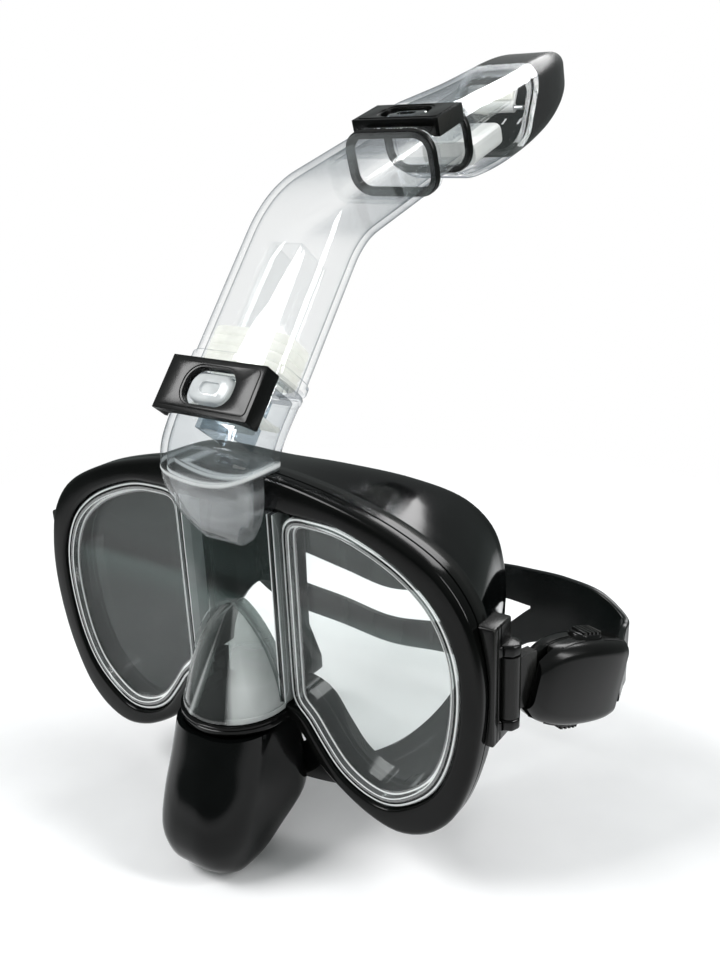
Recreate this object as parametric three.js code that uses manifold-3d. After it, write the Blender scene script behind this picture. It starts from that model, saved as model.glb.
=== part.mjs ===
// A nose-breathing snorkel mask with a dry-top snorkel plugged into its forehead.
// Millimetres, +Z up, -Y is the front, +X is the wearer's left.
// The origin is the middle of the flat inner face of the centre pane.
import Module from 'manifold-3d';
import * as THREE from 'three';
import { mergeVertices } from 'three/addons/utils/BufferGeometryUtils.js';

const wasm = await Module();
wasm.setup();

// ---------------------------------------------------------------- driving dimensions
const GAP = 0.3; // clearance between neighbours

// lens: a proud centre pane between two side windows that sit further back
const PANE_THICKNESS = 3;
const CENTRE_HALF_WIDTH = 18;
const LENS_TOP = 24.2;
const RIM_FRONT = 2.5;
const SIDE_GLASS_FRONT = 4.5;
const LENS_BACK = 7.5;
const RIM_WIDTH = 3.3;
const RIB_HALF_THICKNESS = 1.25;
const FLANGE_WIDTH = 1.5;
const FLANGE_FRONT = 6;

// half outlines, wearer's left side, as [x, z] from the top middle to the bottom middle
const LENS_HALF = [
  [0, 24.2], [18, 24.2], [30, 24.2], [39, 23.6], [51.5, 19.5], [61, 14.5], [70, 6.5], [75.5, -4],
  [77.5, -14], [77, -28], [74, -42], [69, -52], [60, -60], [53, -63], [45, -62], [36, -57],
  [29, -48.5], [23, -40.5], [17, -38.5], [0, -38.5],
];
const FRAME_HALF = [
  [0, 35], [16, 34.5], [37, 31], [57, 25], [71.5, 17], [79.5, 7], [83, -4], [84.5, -16],
  [83.5, -32], [80, -47], [74, -60], [66, -67.5], [57, -70.5], [48, -69], [38, -64], [29, -57],
  [22.5, -48], [17.5, -43.5], [0, -43.5],
];
const FACE_HALF = [
  [0, 31], [20, 30.5], [40, 27], [54, 20.5], [62, 10], [65.3, -6], [65, -25], [62, -42],
  [56, -57], [46, -68], [32, -74.5], [15, -75.5], [0, -74.5],
];
const OUTLINE_POINTS = 52;

// mask frame and skirt, depths behind the front of the centre pane
const BEZEL_FRONT = 1.5;
const BEZEL_BACK = 9;
const RETAINER_BACK = 13.5;
const SKIRT_WALL = 1.8;
const SKIRT_LIP = 9;
const NECK_INSET = 1.5;
const FOREHEAD_DEPTH = 34;
const TEMPLE_EXTRA = 24;
const UPPER_LIP_DEPTH = 20;

// nose window and nose pocket
const NOSE_APEX = -8;
const NOSE_FOOT = -39;
const NOSE_HALF_WIDTH = 17;
const NOSE_REACH = 16.5;
const NOSE_WALL = 1.8;
const NOSE_BAND_HEIGHT = 3.2;

// snorkel: lower axis leans 40 degrees back, upper axis 73.2 degrees
const BEND = new THREE.Vector3(0, 51.5, 101);
const LOWER_TILT = THREE.MathUtils.degToRad(40);
const UPPER_TILT = THREE.MathUtils.degToRad(73.2);
const TUBE = { x: 17, y: 10.5, r: 7 };
const TUBE_BORE = { x: 15, y: 8.5, r: 5 };
const TUBE_FOOT = -56;
const TUBE_TOP = 45.2;
const BEND_REACH = 12;
const SHOULDER = -57;
const SPIGOT_TOP = -43.2;
const CLIP_LENGTH = 17;
const LOWER_CLIP_AT = -65.6;
const UPPER_CLIP_AT = 60.4;

// air port from the connector through the frame into the mask
const PORT = { x: 10, z: 28.3, height: 4.2 };

// float chamber: [station, top, bottom, half width], top and bottom measured off the upper axis
const CHAMBER_STATIONS = [
  [72.3, 12.5, -12, 17], [76, 12.3, -15.5, 18], [88, 11.5, -18.3, 18], [105, 10.2, -19.8, 18],
  [125, 9.2, -19.6, 18], [140, 8.6, -17.8, 17.6], [152, 7.6, -14.5, 16.2], [161, 6, -11, 13.6],
  [168, 3.4, -7.2, 9.6], [171.5, 0.8, -3.8, 5],
];
const CHAMBER_WALL = 1.5;
const CAP_WALL = 1.6;
const CHAMBER_END = 150;
const CAP_SEAM_AT = 126;
const CAP_SEAM_TILT = THREE.MathUtils.degToRad(-38);

// strap buckles, one each side, swivelling on an upright pin
const PIN = new THREE.Vector3(87, 13, -16);
const PIN_RADIUS = 1.5;
const SWING = THREE.MathUtils.degToRad(20);
const DROOP = THREE.MathUtils.degToRad(17);
const TONGUE_HALF_HEIGHT = 9.4;
const TONGUE_EYE = 3.1;
const LUG_FACE = 86.2;
const BUCKLE_STATIONS = [
  [7, 4.3, 7.5], [12, 5.6, 10.8], [20, 6.6, 12.5], [30, 7, 12.8], [38, 6.6, 12.4], [42, 5.8, 11.9],
];
const BUCKLE_WALL = 1.6;
const PINCH_AT = 27;

// strap, right end to middle: [x, y, top edge z, slot top z, slot bottom z, bottom edge z]
const STRAP_HALF = [
  [102.9, 56.6, -15.1, -25.9, -25.1, -35.9], [102, 61.2, -14.5, -25.3, -24.3, -35.1],
  [92.8, 65.5, -10.3, -21.3, -20.8, -31.8], [78.4, 71, -10.6, -22.8, -22.4, -34.6],
  [65.1, 75, -12.5, -25.7, -26.5, -39.7], [49, 79.3, -15.5, -27.5, -41, -53],
  [20, 85.5, -24.2, -35.8, -49.2, -60.8], [0, 86.5, -28.5, -39.5, -52.5, -63.5],
];
const STRAP_THICKNESS = 2;
const SLOT_STATION = 4;

// ---------------------------------------------------------------- materials
const paint = (color, roughness, extra = {}) => () =>
  new THREE.MeshStandardMaterial({ color, roughness, metalness: 0, ...extra });
const clear = paint(0xdfe8ea, 0.05, { transparent: true, opacity: 0.35 });
const smoke = paint(0x3c3f42, 0.15, { transparent: true, opacity: 0.8 });
const blackPlastic = paint(0x17191a, 0.3);
const blackRubber = paint(0x121314, 0.45);
const milkyRubber = paint(0xdcdbd0, 0.5);
const whitePlastic = paint(0xe8e8e4, 0.4);
const steel = paint(0xc8cacc, 0.25, { metalness: 1 });

// ---------------------------------------------------------------- solids
const V = (x, y, z) => new THREE.Vector3(x, y, z);

function signedVolume(points, faces) {
  const cross = V(0, 0, 0);
  return faces.reduce((sum, [a, b, c]) => {
    cross.crossVectors(points[b], points[c]);
    return sum + points[a].dot(cross) / 6;
  }, 0);
}

function solidOfFaces(points, faces) {
  const outward = signedVolume(points, faces) > 0;
  const turned = faces.map(([a, b, c]) => (outward ? [a, b, c] : [a, c, b]));
  return new wasm.Manifold(new wasm.Mesh({
    numProp: 3,
    vertProperties: new Float32Array(points.flatMap((p) => p.toArray())),
    triVerts: new Uint32Array(turned.flat()),
  }));
}

function solidOfGeometry(geometry) {
  geometry.deleteAttribute('normal');
  geometry.deleteAttribute('uv');
  const merged = mergeVertices(geometry);
  const position = merged.attributes.position;
  const corners = merged.index.array;
  const points = [];
  for (let i = 0; i < position.count; i += 1) {
    points.push(V(0, 0, 0).fromBufferAttribute(position, i));
  }
  const faces = [];
  for (let i = 0; i < corners.length; i += 3) {
    faces.push([corners[i], corners[i + 1], corners[i + 2]]);
  }
  return solidOfFaces(points, faces);
}

function geometryOf(solid) {
  const mesh = solid.getMesh();
  const geometry = new THREE.BufferGeometry();
  geometry.setAttribute('position', new THREE.BufferAttribute(new Float32Array(mesh.vertProperties), 3));
  geometry.setIndex(new THREE.BufferAttribute(new Uint32Array(mesh.triVerts), 1));
  return geometry;
}

// A wall between consecutive rings of points. A closed wall joins its last ring to its first;
// an open one gets a fan of triangles over each end.
function ringSolid(rings, closed) {
  const count = rings[0].length;
  const points = rings.flat();
  const faces = [];
  const spans = closed ? rings.length : rings.length - 1;
  for (let k = 0; k < spans; k += 1) {
    const next = (k + 1) % rings.length;
    for (let i = 0; i < count; i += 1) {
      const j = (i + 1) % count;
      const [a, b, c, d] = [k * count + i, k * count + j, next * count + i, next * count + j];
      faces.push([a, b, d], [a, d, c]);
    }
  }
  if (!closed) {
    [[0, true], [rings.length - 1, false]].forEach(([k, first]) => {
      const middle = points.length;
      points.push(rings[k].reduce((sum, p) => sum.add(p), V(0, 0, 0)).divideScalar(count));
      for (let i = 0; i < count; i += 1) {
        const [a, b] = [k * count + i, k * count + ((i + 1) % count)];
        faces.push(first ? [middle, b, a] : [middle, a, b]);
      }
    });
  }
  return solidOfFaces(points, faces);
}

function extruded(outline, depth) {
  const shape = new THREE.Shape(outline.map((p) => new THREE.Vector2(p.x, p.y)));
  return new THREE.ExtrudeGeometry(shape, { depth, bevelEnabled: false, curveSegments: 1 });
}

// prisms over an outline: across the mask (outline in x, z) and along a tube (outline in x, y)
const prismY = (outline, y0, y1) =>
  solidOfGeometry(extruded(outline, y1 - y0).rotateX(Math.PI / 2).translate(0, y1, 0));
const prismZ = (outline, z0, z1) => solidOfGeometry(extruded(outline, z1 - z0).translate(0, 0, z0));

function block(x0, x1, y0, y1, z0, z1) {
  const box = new THREE.BoxGeometry(x1 - x0, y1 - y0, z1 - z0);
  return solidOfGeometry(box.translate((x0 + x1) / 2, (y0 + y1) / 2, (z0 + z1) / 2));
}

function rod(radius, length, axis, at, sides = 20) {
  const geometry = new THREE.CylinderGeometry(radius, radius, length, sides);
  if (axis === 'x') {
    geometry.rotateZ(Math.PI / 2);
  }
  if (axis === 'z') {
    geometry.rotateX(Math.PI / 2);
  }
  return solidOfGeometry(geometry.translate(at.x, at.y, at.z));
}

const union = (first, ...rest) => rest.reduce((sum, solid) => sum.add(solid), first);
const less = (first, ...rest) => rest.reduce((left, solid) => left.subtract(solid), first);

// ---------------------------------------------------------------- outlines
function mirroredOutline(half) {
  const left = half.map(([x, z]) => V(x, z, 0));
  const right = half.filter(([x]) => x > 0).reverse().map(([x, z]) => V(-x, z, 0));
  const curve = new THREE.CatmullRomCurve3([...left, ...right], true, 'centripetal');
  const spaced = curve.getSpacedPoints(OUTLINE_POINTS).slice(0, -1);
  return spaced.map((p) => new THREE.Vector2(p.x, p.y));
}

// The outline moved outwards by a distance, or inwards by a negative one. It runs clockwise.
function offset(outline, distance) {
  const count = outline.length;
  return outline.map((p, i) => {
    const before = outline[(i + count - 1) % count];
    const after = outline[(i + 1) % count];
    const along = after.clone().sub(before).normalize();
    return p.clone().add(new THREE.Vector2(-along.y, along.x).multiplyScalar(distance));
  });
}

function roundRect({ x, y, r }, grow = 0, at = [0, 0], perCorner = 3) {
  const [hx, hy, radius] = [x + grow, y + grow, Math.max(r + grow, 0.4)];
  const corners = [[1, 1], [-1, 1], [-1, -1], [1, -1]];
  return corners.flatMap(([sx, sy], corner) =>
    Array.from({ length: perCorner + 1 }, (_, i) => {
      const angle = ((corner + i / perCorner) * Math.PI) / 2;
      return new THREE.Vector2(
        at[0] + sx * (hx - radius) + radius * Math.cos(angle),
        at[1] + sy * (hy - radius) + radius * Math.sin(angle),
      );
    }));
}

const lensOutline = mirroredOutline(LENS_HALF);
const frameOutline = mirroredOutline(FRAME_HALF);
const faceOutline = mirroredOutline(FACE_HALF);

// ---------------------------------------------------------------- nose
// The nose window is a half cone: half width and reach grow from the apex down to the foot.
function noseRing(z, grow, back) {
  const fall = THREE.MathUtils.clamp((z - NOSE_FOOT) / (NOSE_APEX - NOSE_FOOT), 0, 1);
  const halfWidth = Math.max(NOSE_HALF_WIDTH * (1 - fall ** 2.1) + grow, 0.3);
  const reach = Math.max(NOSE_REACH * (1 - fall) + grow, 0.3);
  const front = Array.from({ length: 15 }, (_, i) => {
    const angle = (i * Math.PI) / 14;
    return V(halfWidth * Math.cos(angle), -reach * Math.sin(angle), z);
  });
  return [V(halfWidth, back, z), ...front, V(-halfWidth, back, z)];
}

const NOSE_LEVELS = [-9.5, -12, -15, -19, -24, -30, -36];

function noseCone(top, bottom, grow, back) {
  const levels = [top, ...NOSE_LEVELS.filter((z) => z < top - 0.5 && z > bottom + 0.5), bottom];
  return ringSolid(levels.map((z) => noseRing(z, grow, back)), false);
}

const noseWindow = () =>
  less(noseCone(NOSE_APEX - 0.6, -40, 0, 5.5), noseCone(-12, -41, -NOSE_WALL, 8));

function noseBand() {
  const top = -40 - GAP;
  const outer = noseCone(top, top - NOSE_BAND_HEIGHT, 1.3, BEZEL_BACK);
  return less(outer, noseCone(top + 1, top - NOSE_BAND_HEIGHT - 1, -1.6, BEZEL_BACK + 2));
}

// The soft pocket hangs below the band: [level, front, back, half width].
const POCKET = [
  [-44.4, -18.7, 18, 17], [-55, -22.5, 18, 17], [-66, -27, 18.5, 17], [-75, -29.5, 18, 16.8],
  [-81, -29, 8, 16], [-86, -26.4, -1, 14.5], [-89.6, -22, -8, 11.5], [-91.3, -18, -13, 7.5],
];

function pocketRing([z, front, back, halfWidth], inset, openBack) {
  const rear = openBack ? 34 : back - inset;
  const size = { x: halfWidth - inset, y: (rear - front - inset) / 2, r: 0 };
  const radius = Math.min(size.x, size.y) * 0.8;
  const loop = roundRect({ ...size, r: radius }, 0, [0, (front + inset + rear) / 2]);
  return loop.map((p) => V(p.x, p.y, z));
}

const pocketOuter = () => ringSolid(POCKET.map((level) => pocketRing(level, 0, false)), false);

function pocketInner() {
  const lowest = POCKET.length - 1;
  const levels = [[-42, -18, 18, 17], ...POCKET.slice(0, lowest)];
  return ringSolid(levels.map((level) => pocketRing(level, SKIRT_WALL, level[0] > -60)), false);
}

// ---------------------------------------------------------------- lens and frames
function sideWindowRecess() {
  const glass = prismY(offset(lensOutline, -RIM_WIDTH), -1, SIDE_GLASS_FRONT);
  const edge = CENTRE_HALF_WIDTH + RIB_HALF_THICKNESS + RIM_WIDTH;
  return less(glass, block(-edge, edge, -5, 20, -80, 40));
}

function noseRoom() {
  return union(noseCone(NOSE_APEX, -44, GAP, 20), block(-18.3, 18.3, -30, 20, -44, -38));
}

function portHole() {
  const outline = roundRect({ x: PORT.x, y: PORT.height / 2, r: 1.5 }, GAP, [0, PORT.z]);
  return prismY(outline, -1, 17.2);
}

function lens() {
  const half = CENTRE_HALF_WIDTH;
  const slab = less(
    prismY(lensOutline, RIM_FRONT, LENS_BACK),
    block(-half, half, -5, 20, -80, 40),
    sideWindowRecess(),
  );
  const ribs = [-1, 1].map((side) => {
    const inner = side * half - RIB_HALF_THICKNESS;
    return block(inner, inner + 2 * RIB_HALF_THICKNESS, 0, LENS_BACK, -37, LENS_TOP);
  });
  const flange = less(
    prismY(offset(lensOutline, FLANGE_WIDTH), FLANGE_FRONT, LENS_BACK),
    prismY(offset(lensOutline, -2), FLANGE_FRONT - 1, LENS_BACK + 1),
  );
  const pane = block(-half, half, 0, PANE_THICKNESS, -37, LENS_TOP);
  const topBar = block(-half, half, 0, LENS_BACK, LENS_TOP - 2.4, LENS_TOP);
  return less(union(slab, pane, topBar, ...ribs, flange), noseRoom());
}

function frontFrame() {
  const ring = less(
    prismY(frameOutline, BEZEL_FRONT, BEZEL_BACK),
    prismY(offset(lensOutline, GAP), BEZEL_FRONT - 1, FLANGE_FRONT - GAP),
    prismY(offset(lensOutline, FLANGE_WIDTH + GAP), FLANGE_FRONT - GAP - 0.01, BEZEL_BACK + 1),
    block(-17.4, 17.4, -10, 20, -60, -30),
    portHole(),
  );
  return less(union(ring, noseBand()), noseCone(-20, -60, -1.6, BEZEL_BACK + 4));
}

function retainingFrame() {
  return less(
    prismY(offset(frameOutline, -1), BEZEL_BACK + GAP, RETAINER_BACK),
    prismY(offset(lensOutline, -0.8), BEZEL_BACK - 1, RETAINER_BACK + 1),
    block(-18, 18, -10, 20, -60, -30),
    portHole(),
  );
}

// ---------------------------------------------------------------- skirt
function faceDepth(x, z) {
  const rise = THREE.MathUtils.clamp((z + 75) / 30, 0, 1);
  const side = Math.min(Math.abs(x) / 66, 1);
  return UPPER_LIP_DEPTH + (FOREHEAD_DEPTH - UPPER_LIP_DEPTH) * rise + TEMPLE_EXTRA * side * side;
}

function skirt() {
  const shoulder = offset(frameOutline, -3.2);
  const neck = offset(lensOutline, -NECK_INSET);
  const lift = (outline, depth) => outline.map((p, i) => V(p.x, depth(i), p.y));
  const level = (outline, y) => lift(outline, () => y);
  const rear = (inset, forward) =>
    lift(offset(faceOutline, -inset), (i) => faceDepth(faceOutline[i].x, faceOutline[i].y) - forward);
  const rings = [
    level(offset(lensOutline, 1.2), LENS_BACK + GAP),
    level(offset(lensOutline, 1.2), BEZEL_BACK),
    level(neck, BEZEL_BACK),
    level(neck, RETAINER_BACK + GAP),
    level(shoulder, RETAINER_BACK + GAP),
    rear(0, 6),
    rear(1.2, 1.2),
    rear(3.5, 0),
    rear(SKIRT_LIP, 2.5),
    rear(SKIRT_LIP, 4.2),
    rear(4, 2.4),
    rear(2.4, 6.5),
    level(offset(shoulder, -SKIRT_WALL), RETAINER_BACK + GAP + SKIRT_WALL),
    level(offset(lensOutline, -NECK_INSET - SKIRT_WALL), RETAINER_BACK + GAP + SKIRT_WALL),
    level(offset(lensOutline, -NECK_INSET - SKIRT_WALL), LENS_BACK + GAP),
  ];
  const noseClearance = union(
    noseCone(NOSE_APEX, -44.3, 0.9, 22),
    noseCone(-36, -44.3, 2.2, RETAINER_BACK),
  );
  const body = less(union(ringSolid(rings, true), pocketOuter()), noseClearance, pocketInner());
  return less(body, portHole());
}

// The air guide is a soft box behind the centre pane that leads air between port and nose.
function airGuide() {
  const outline = [
    [-13, 20.4], [13, 20.4], [15, 12], [14.6, -20], [18.8, -30], [18.8, -34.4], [16.4, -34.4],
    [11, -22], [0, -18], [-11, -22], [-16.4, -34.4], [-18.8, -34.4], [-18.8, -30], [-14.6, -20],
    [-15, 12],
  ].map(([x, z]) => new THREE.Vector2(x, z));
  const hollow = [[-11.5, 18.8], [11.5, 18.8], [13.3, 12], [13, -16.5], [-13, -16.5], [-13.3, 12]]
    .map(([x, z]) => new THREE.Vector2(x, z));
  const front = LENS_BACK + 0.7;
  const box = less(prismY(outline, front, 19), prismY(hollow, front - 1, 17.4));
  const doorway = block(-8, 8, front - 1, 17.4, -30, -10);
  return less(box, doorway, noseCone(NOSE_APEX, -44, 1.5, 24));
}

// ---------------------------------------------------------------- connector
// Sections of the connector from its shoulder down to the chin: [front y, z], [back y, z], half width.
const CONNECTOR = [
  [[6.85, 64.05], [22.95, 50.55], 17], [[-3.9, 51.1], [12.1, 37.6], 17], [[-8.4, 43.6], [11, 31], 17],
  [[-9.6, 37], [10, 26], 17], [[-9.6, 31.5], [9, 22], 16.6], [[-7, 23], [8, 16], 14.5],
  [[-4.4, 17.5], [6, 11], 11], [[-2.2, 13.8], [4, 9], 7],
];

function connectorSolid(inset) {
  const rings = CONNECTOR.map(([front, back, halfWidth], k) => {
    const a = V(0, front[0], front[1]);
    const b = V(0, back[0], back[1]);
    const depth = b.clone().sub(a);
    const ends = (k === 0 ? inset : 0) * 3;
    const half = depth.length() / 2 - inset;
    const along = depth.clone().normalize();
    const up = V(0, -along.z, along.y).multiplyScalar(ends);
    const radius = Math.max(Math.min(7, halfWidth * 0.5) - inset, 1);
    const middle = a.clone().add(b).multiplyScalar(0.5).add(up);
    return roundRect({ x: halfWidth - inset, y: half, r: radius })
      .map((p) => V(p.x, 0, 0).add(middle).addScaledVector(along, p.y));
  });
  return ringSolid(inset > 0 ? rings.slice(0, -1) : rings, false);
}

const lowerStem = new THREE.Matrix4().makeRotationX(-LOWER_TILT).setPosition(BEND);

// A prism along the lower tube axis, moved into the mask's own frame.
function alongLowerStem(outline, s0, s1) {
  return solidOfGeometry(extruded(outline, s1 - s0).translate(0, 0, s0).applyMatrix4(lowerStem));
}

function buttonHole(loop, depth0, depth1, at) {
  const hole = extruded(roundRect(loop, GAP), depth1 - depth0).rotateX(Math.PI / 2);
  return hole.translate(0, depth1, at);
}

const LOWER_SPIGOT = { x: 12.7, y: 6.2, r: 3.6 };
const BUTTON = { x: 7.6, y: 4.3, r: 3.8 };
const CLIP_WINDOW = { x: 8.8, y: 5.4, r: 4.6 };

function connectorHousing() {
  const base = 35 + GAP;
  const face = -GAP;
  const floor = block(-40, 40, face, 60, -60, base);
  const room = block(-40, 40, face - 2, 60, -60, base + 2);
  const shell = less(connectorSolid(0), floor);
  const hollow = less(connectorSolid(2), room);
  const spigot = alongLowerStem(roundRect(LOWER_SPIGOT), SHOULDER - 1, SPIGOT_TOP);
  const shoulder = alongLowerStem(roundRect(TUBE), SHOULDER - 2.5, SHOULDER);
  const bore = alongLowerStem(roundRect(LOWER_SPIGOT, -1.3), SHOULDER - 4, SPIGOT_TOP + 1);
  const stubOutline = roundRect({ x: PORT.x, y: PORT.height / 2, r: 1.5 }, 0, [0, PORT.z]);
  const stubBore = roundRect({ x: PORT.x, y: PORT.height / 2, r: 1.5 }, -1, [0, PORT.z]);
  const stub = prismY(stubOutline, face - 1, 15.2);
  const button = solidOfGeometry(buttonHole(BUTTON, -14, -7, LOWER_CLIP_AT).applyMatrix4(lowerStem));
  return less(
    union(less(shell, hollow), shoulder, spigot, stub),
    bore,
    prismY(stubBore, face - 3, 16),
    button,
  );
}

function portGasket() {
  const seat = roundRect({ x: 13.5, y: 3.9, r: 2 }, 0, [0, PORT.z]);
  return less(prismY(seat, 0.1, 1.2), portHole());
}

function channelDivider() {
  const wall = (x) => block(x - 0.5, x + 0.5, -6.2, 7.4, -75.5, -59.9);
  return union(wall(-5.4), wall(5.4), block(-5.4, 5.4, -6.2, -5.2, -75.5, -59.9));
}

// A soft flap lying across the channel, with its bead along the rear wall.
function flap(x0, x1, front, s) {
  const bead = rod(0.9, x1 - x0, 'x', V((x0 + x1) / 2, 6.2, s), 12);
  return union(block(x0, x1, front, 6.2, s - 0.4, s + 0.4), bead);
}

function ribbedSeal() {
  const ribs = 4;
  const [foot, top] = [TUBE_FOOT + 0.2, SPIGOT_TOP - 0.3];
  const pitch = (top - foot) / ribs;
  const ring = (grow, s) => roundRect(LOWER_SPIGOT, grow).map((p) => V(p.x, p.y, s));
  const outer = Array.from({ length: ribs }, (_, i) => [
    ring(1.5, foot + i * pitch), ring(2, foot + (i + 0.3) * pitch), ring(2, foot + (i + 0.7) * pitch),
  ]).flat();
  return ringSolid([...outer, ring(1.5, top), ring(GAP, top), ring(GAP, foot)], true);
}

// ---------------------------------------------------------------- tube
const along = (tilt) => V(0, Math.sin(tilt), Math.cos(tilt));

function tubeCentres() {
  const lower = along(LOWER_TILT);
  const upper = along(UPPER_TILT);
  const place = (direction, s) => BEND.clone().addScaledVector(direction, s);
  const bow = new THREE.QuadraticBezierCurve3(place(lower, -BEND_REACH), BEND, place(upper, BEND_REACH));
  const turned = [0, 0.25, 0.5, 0.75, 1].map((t) => ({ at: bow.getPoint(t), along: bow.getTangent(t) }));
  const foot = { at: place(lower, TUBE_FOOT), along: lower };
  const top = { at: place(upper, TUBE_TOP), along: upper };
  return [foot, ...turned, top];
}

function midTube() {
  const rings = (size) => tubeCentres().map(({ at, along: direction }) => {
    const rear = V(0, direction.z, -direction.y);
    return roundRect(size).map((p) => at.clone().addScaledVector(rear, p.y).add(V(p.x, 0, 0)));
  });
  return ringSolid([...rings(TUBE), ...rings(TUBE_BORE).reverse()], true);
}

function tubeDivider() {
  const wall = (x) => block(x - 0.5, x + 0.5, -6.5, 7.6, -42.4, -14);
  return union(wall(-5.5), wall(5.5), block(-5.5, 5.5, -6.5, -5.5, -42.4, -14));
}

// ---------------------------------------------------------------- clips
function clip(body, halfWidth, face, skirtDepth, at) {
  const [low, high] = [at - CLIP_LENGTH / 2, at + CLIP_LENGTH / 2];
  const plate = block(-halfWidth, halfWidth, -face, -face + skirtDepth, low, high);
  const seat = prismZ(roundRect(body, GAP), at - CLIP_LENGTH, at + CLIP_LENGTH);
  return less(plate, seat, solidOfGeometry(buttonHole(CLIP_WINDOW, -face - 1, 0, at)));
}

function pressButton(outerFace, innerFace, at) {
  const outline = roundRect(BUTTON, 0, [0, at]);
  return prismY(outline, -outerFace, -innerFace);
}

// ---------------------------------------------------------------- top section
function chamberRing([s, top, bottom, halfWidth], inset) {
  const half = (top - bottom) / 2 - inset;
  const radius = Math.min(halfWidth - inset, half) * 0.62;
  const loop = roundRect({ x: halfWidth - inset, y: half, r: radius }, 0, [0, -(top + bottom) / 2], 4);
  return loop.map((p) => V(p.x, p.y, s));
}

function chamberSolid(inset) {
  const [first, last] = [CHAMBER_STATIONS[0], CHAMBER_STATIONS[CHAMBER_STATIONS.length - 1]];
  const stations = CHAMBER_STATIONS.filter(([s]) => s === first[0] || s < last[0] - inset * 1.5);
  const rings = stations.map((station, k) => {
    const [s, ...size] = station;
    return chamberRing([k === 0 ? s + inset : s, ...size], inset);
  });
  return ringSolid(rings, false);
}

function beyondSeam(shift) {
  const box = new THREE.BoxGeometry(80, 120, 80).translate(0, 0, 40);
  return solidOfGeometry(box.rotateX(CAP_SEAM_TILT).translate(0, 0, CAP_SEAM_AT + shift));
}

const NECK = { x: 15, y: 9, r: 6 };
const UPPER_SPIGOT = { x: 14.7, y: 8.2, r: 4.7 };
const DUCT = { x: 11, y: 4, r: 2.5 };
const DUCT_AT = [0, -1.6];
const DUCT_END = 117.2;

function floatChamber() {
  const outside = less(chamberSolid(0), beyondSeam(0));
  const past = block(-40, 40, -40, 40, CHAMBER_END, 200);
  const tail = less(chamberSolid(CAP_WALL + GAP), past);
  const hollow = union(
    chamberSolid(CAP_WALL + GAP + CHAMBER_WALL),
    less(chamberSolid(CHAMBER_WALL), beyondSeam(-3)),
  );
  const shell = less(union(outside, tail), hollow, past);
  const duct = prismZ(roundRect(DUCT, 0, DUCT_AT), 73, DUCT_END);
  const neck = prismZ(roundRect(NECK), 49, 73.5);
  const flange = prismZ(roundRect({ x: 17.5, y: 11, r: 7.5 }), 48.1, 50);
  const spigot = prismZ(roundRect(UPPER_SPIGOT), 31, 49);
  const vents = [-9, -3, 3, 9].map((x) => block(x - 1, x + 1, 8, 30, 84, 96));
  return less(
    union(shell, duct, neck, flange, spigot),
    prismZ(roundRect(DUCT, -1.2, DUCT_AT), 72, DUCT_END + 1),
    prismZ(roundRect(UPPER_SPIGOT, -1.5), 30, 72.4),
    solidOfGeometry(buttonHole(BUTTON, -14, -3, UPPER_CLIP_AT)),
    ...vents,
  );
}

function topCap() {
  const shell = less(chamberSolid(0), chamberSolid(CAP_WALL));
  const slots = [-7, 0, 7].map((x) => block(x - 1.2, x + 1.2, 5, 30, 140, 147));
  return less(shell.intersect(beyondSeam(GAP)), ...slots);
}

function gasket(outer, inner, s0, s1) {
  return less(prismZ(outer, s0, s1), prismZ(inner, s0 - 1, s1 + 1));
}

function floatBody() {
  const body = prismZ(roundRect({ x: 11, y: 4.2, r: 2.5 }, 0, [0, 9.5]), 84, 106);
  return union(body, block(-2, 2, 11, 13, 105, 109.5));
}

const FLAP_HINGE = V(0, 3.9, 119.6);
const FLAP_OPEN = THREE.MathUtils.degToRad(40);

// Drawn about its hinge, closed: the plate stands towards the top of the duct mouth.
function valveFlap() {
  const plate = block(-10.5, 10.5, -9, 0, -1.1, 0.1);
  const barrel = rod(1.8, 21, 'x', V(0, 0, 0), 16);
  return less(union(plate, barrel), rod(1.1, 24, 'x', V(0, 0, 0), 16));
}

const valvePad = () => block(-9.6, 9.6, -8.6, -2.6, -2.1, -1.4);

// ---------------------------------------------------------------- buckles
function strapLug() {
  const base = block(78, LUG_FACE, 5.5, 15.6, -32.5, 3.5);
  const earOutline = [
    V(LUG_FACE - 1.2, 6, 0), V(PIN.x, PIN.y - 3.3, 0), V(PIN.x + 2.3, PIN.y - 2.4, 0),
    V(PIN.x + 3.3, PIN.y, 0), V(PIN.x + 2.3, PIN.y + 2.4, 0), V(PIN.x, PIN.y + 3.3, 0),
    V(LUG_FACE - 1.2, 15.6, 0),
  ];
  const reach = TONGUE_HALF_HEIGHT + GAP;
  const ears = [[reach, reach + 3.4], [-reach - 3.4, -reach]]
    .map(([low, high]) => prismZ(earOutline, PIN.z + low, PIN.z + high));
  return less(
    union(base, ...ears),
    prismY(offset(frameOutline, GAP), -6, 20),
    rod(PIN_RADIUS + GAP, 40, 'z', PIN),
    rod(TONGUE_EYE + 2 * GAP, 2 * reach, 'z', PIN),
  );
}

function buckleOuter(inset) {
  const rings = BUCKLE_STATIONS.map(([y, x, z], k) => {
    const last = k === BUCKLE_STATIONS.length - 1;
    const at = y + (k === 0 ? 2 * inset : 0) + (last ? 3 * inset : 0);
    return roundRect({ x: x - inset, y: z - inset, r: 4 - inset }).map((p) => V(p.x, at, p.y));
  });
  return ringSolid(rings, false);
}

function pinchHoles() {
  const outline = roundRect({ x: 3.2, y: 5.4, r: 3.1 }, GAP, [0, PINCH_AT]);
  return prismZ(outline, -20, 20);
}

// The buckle is drawn along +y with its own droop taken out; the tongue is turned back upright.
function buckleShell(cutFrom, cutTo) {
  const shell = less(buckleOuter(0), buckleOuter(BUCKLE_WALL), pinchHoles());
  return less(shell, block(cutFrom, cutTo, -10, 60, -30, 30));
}

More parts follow.
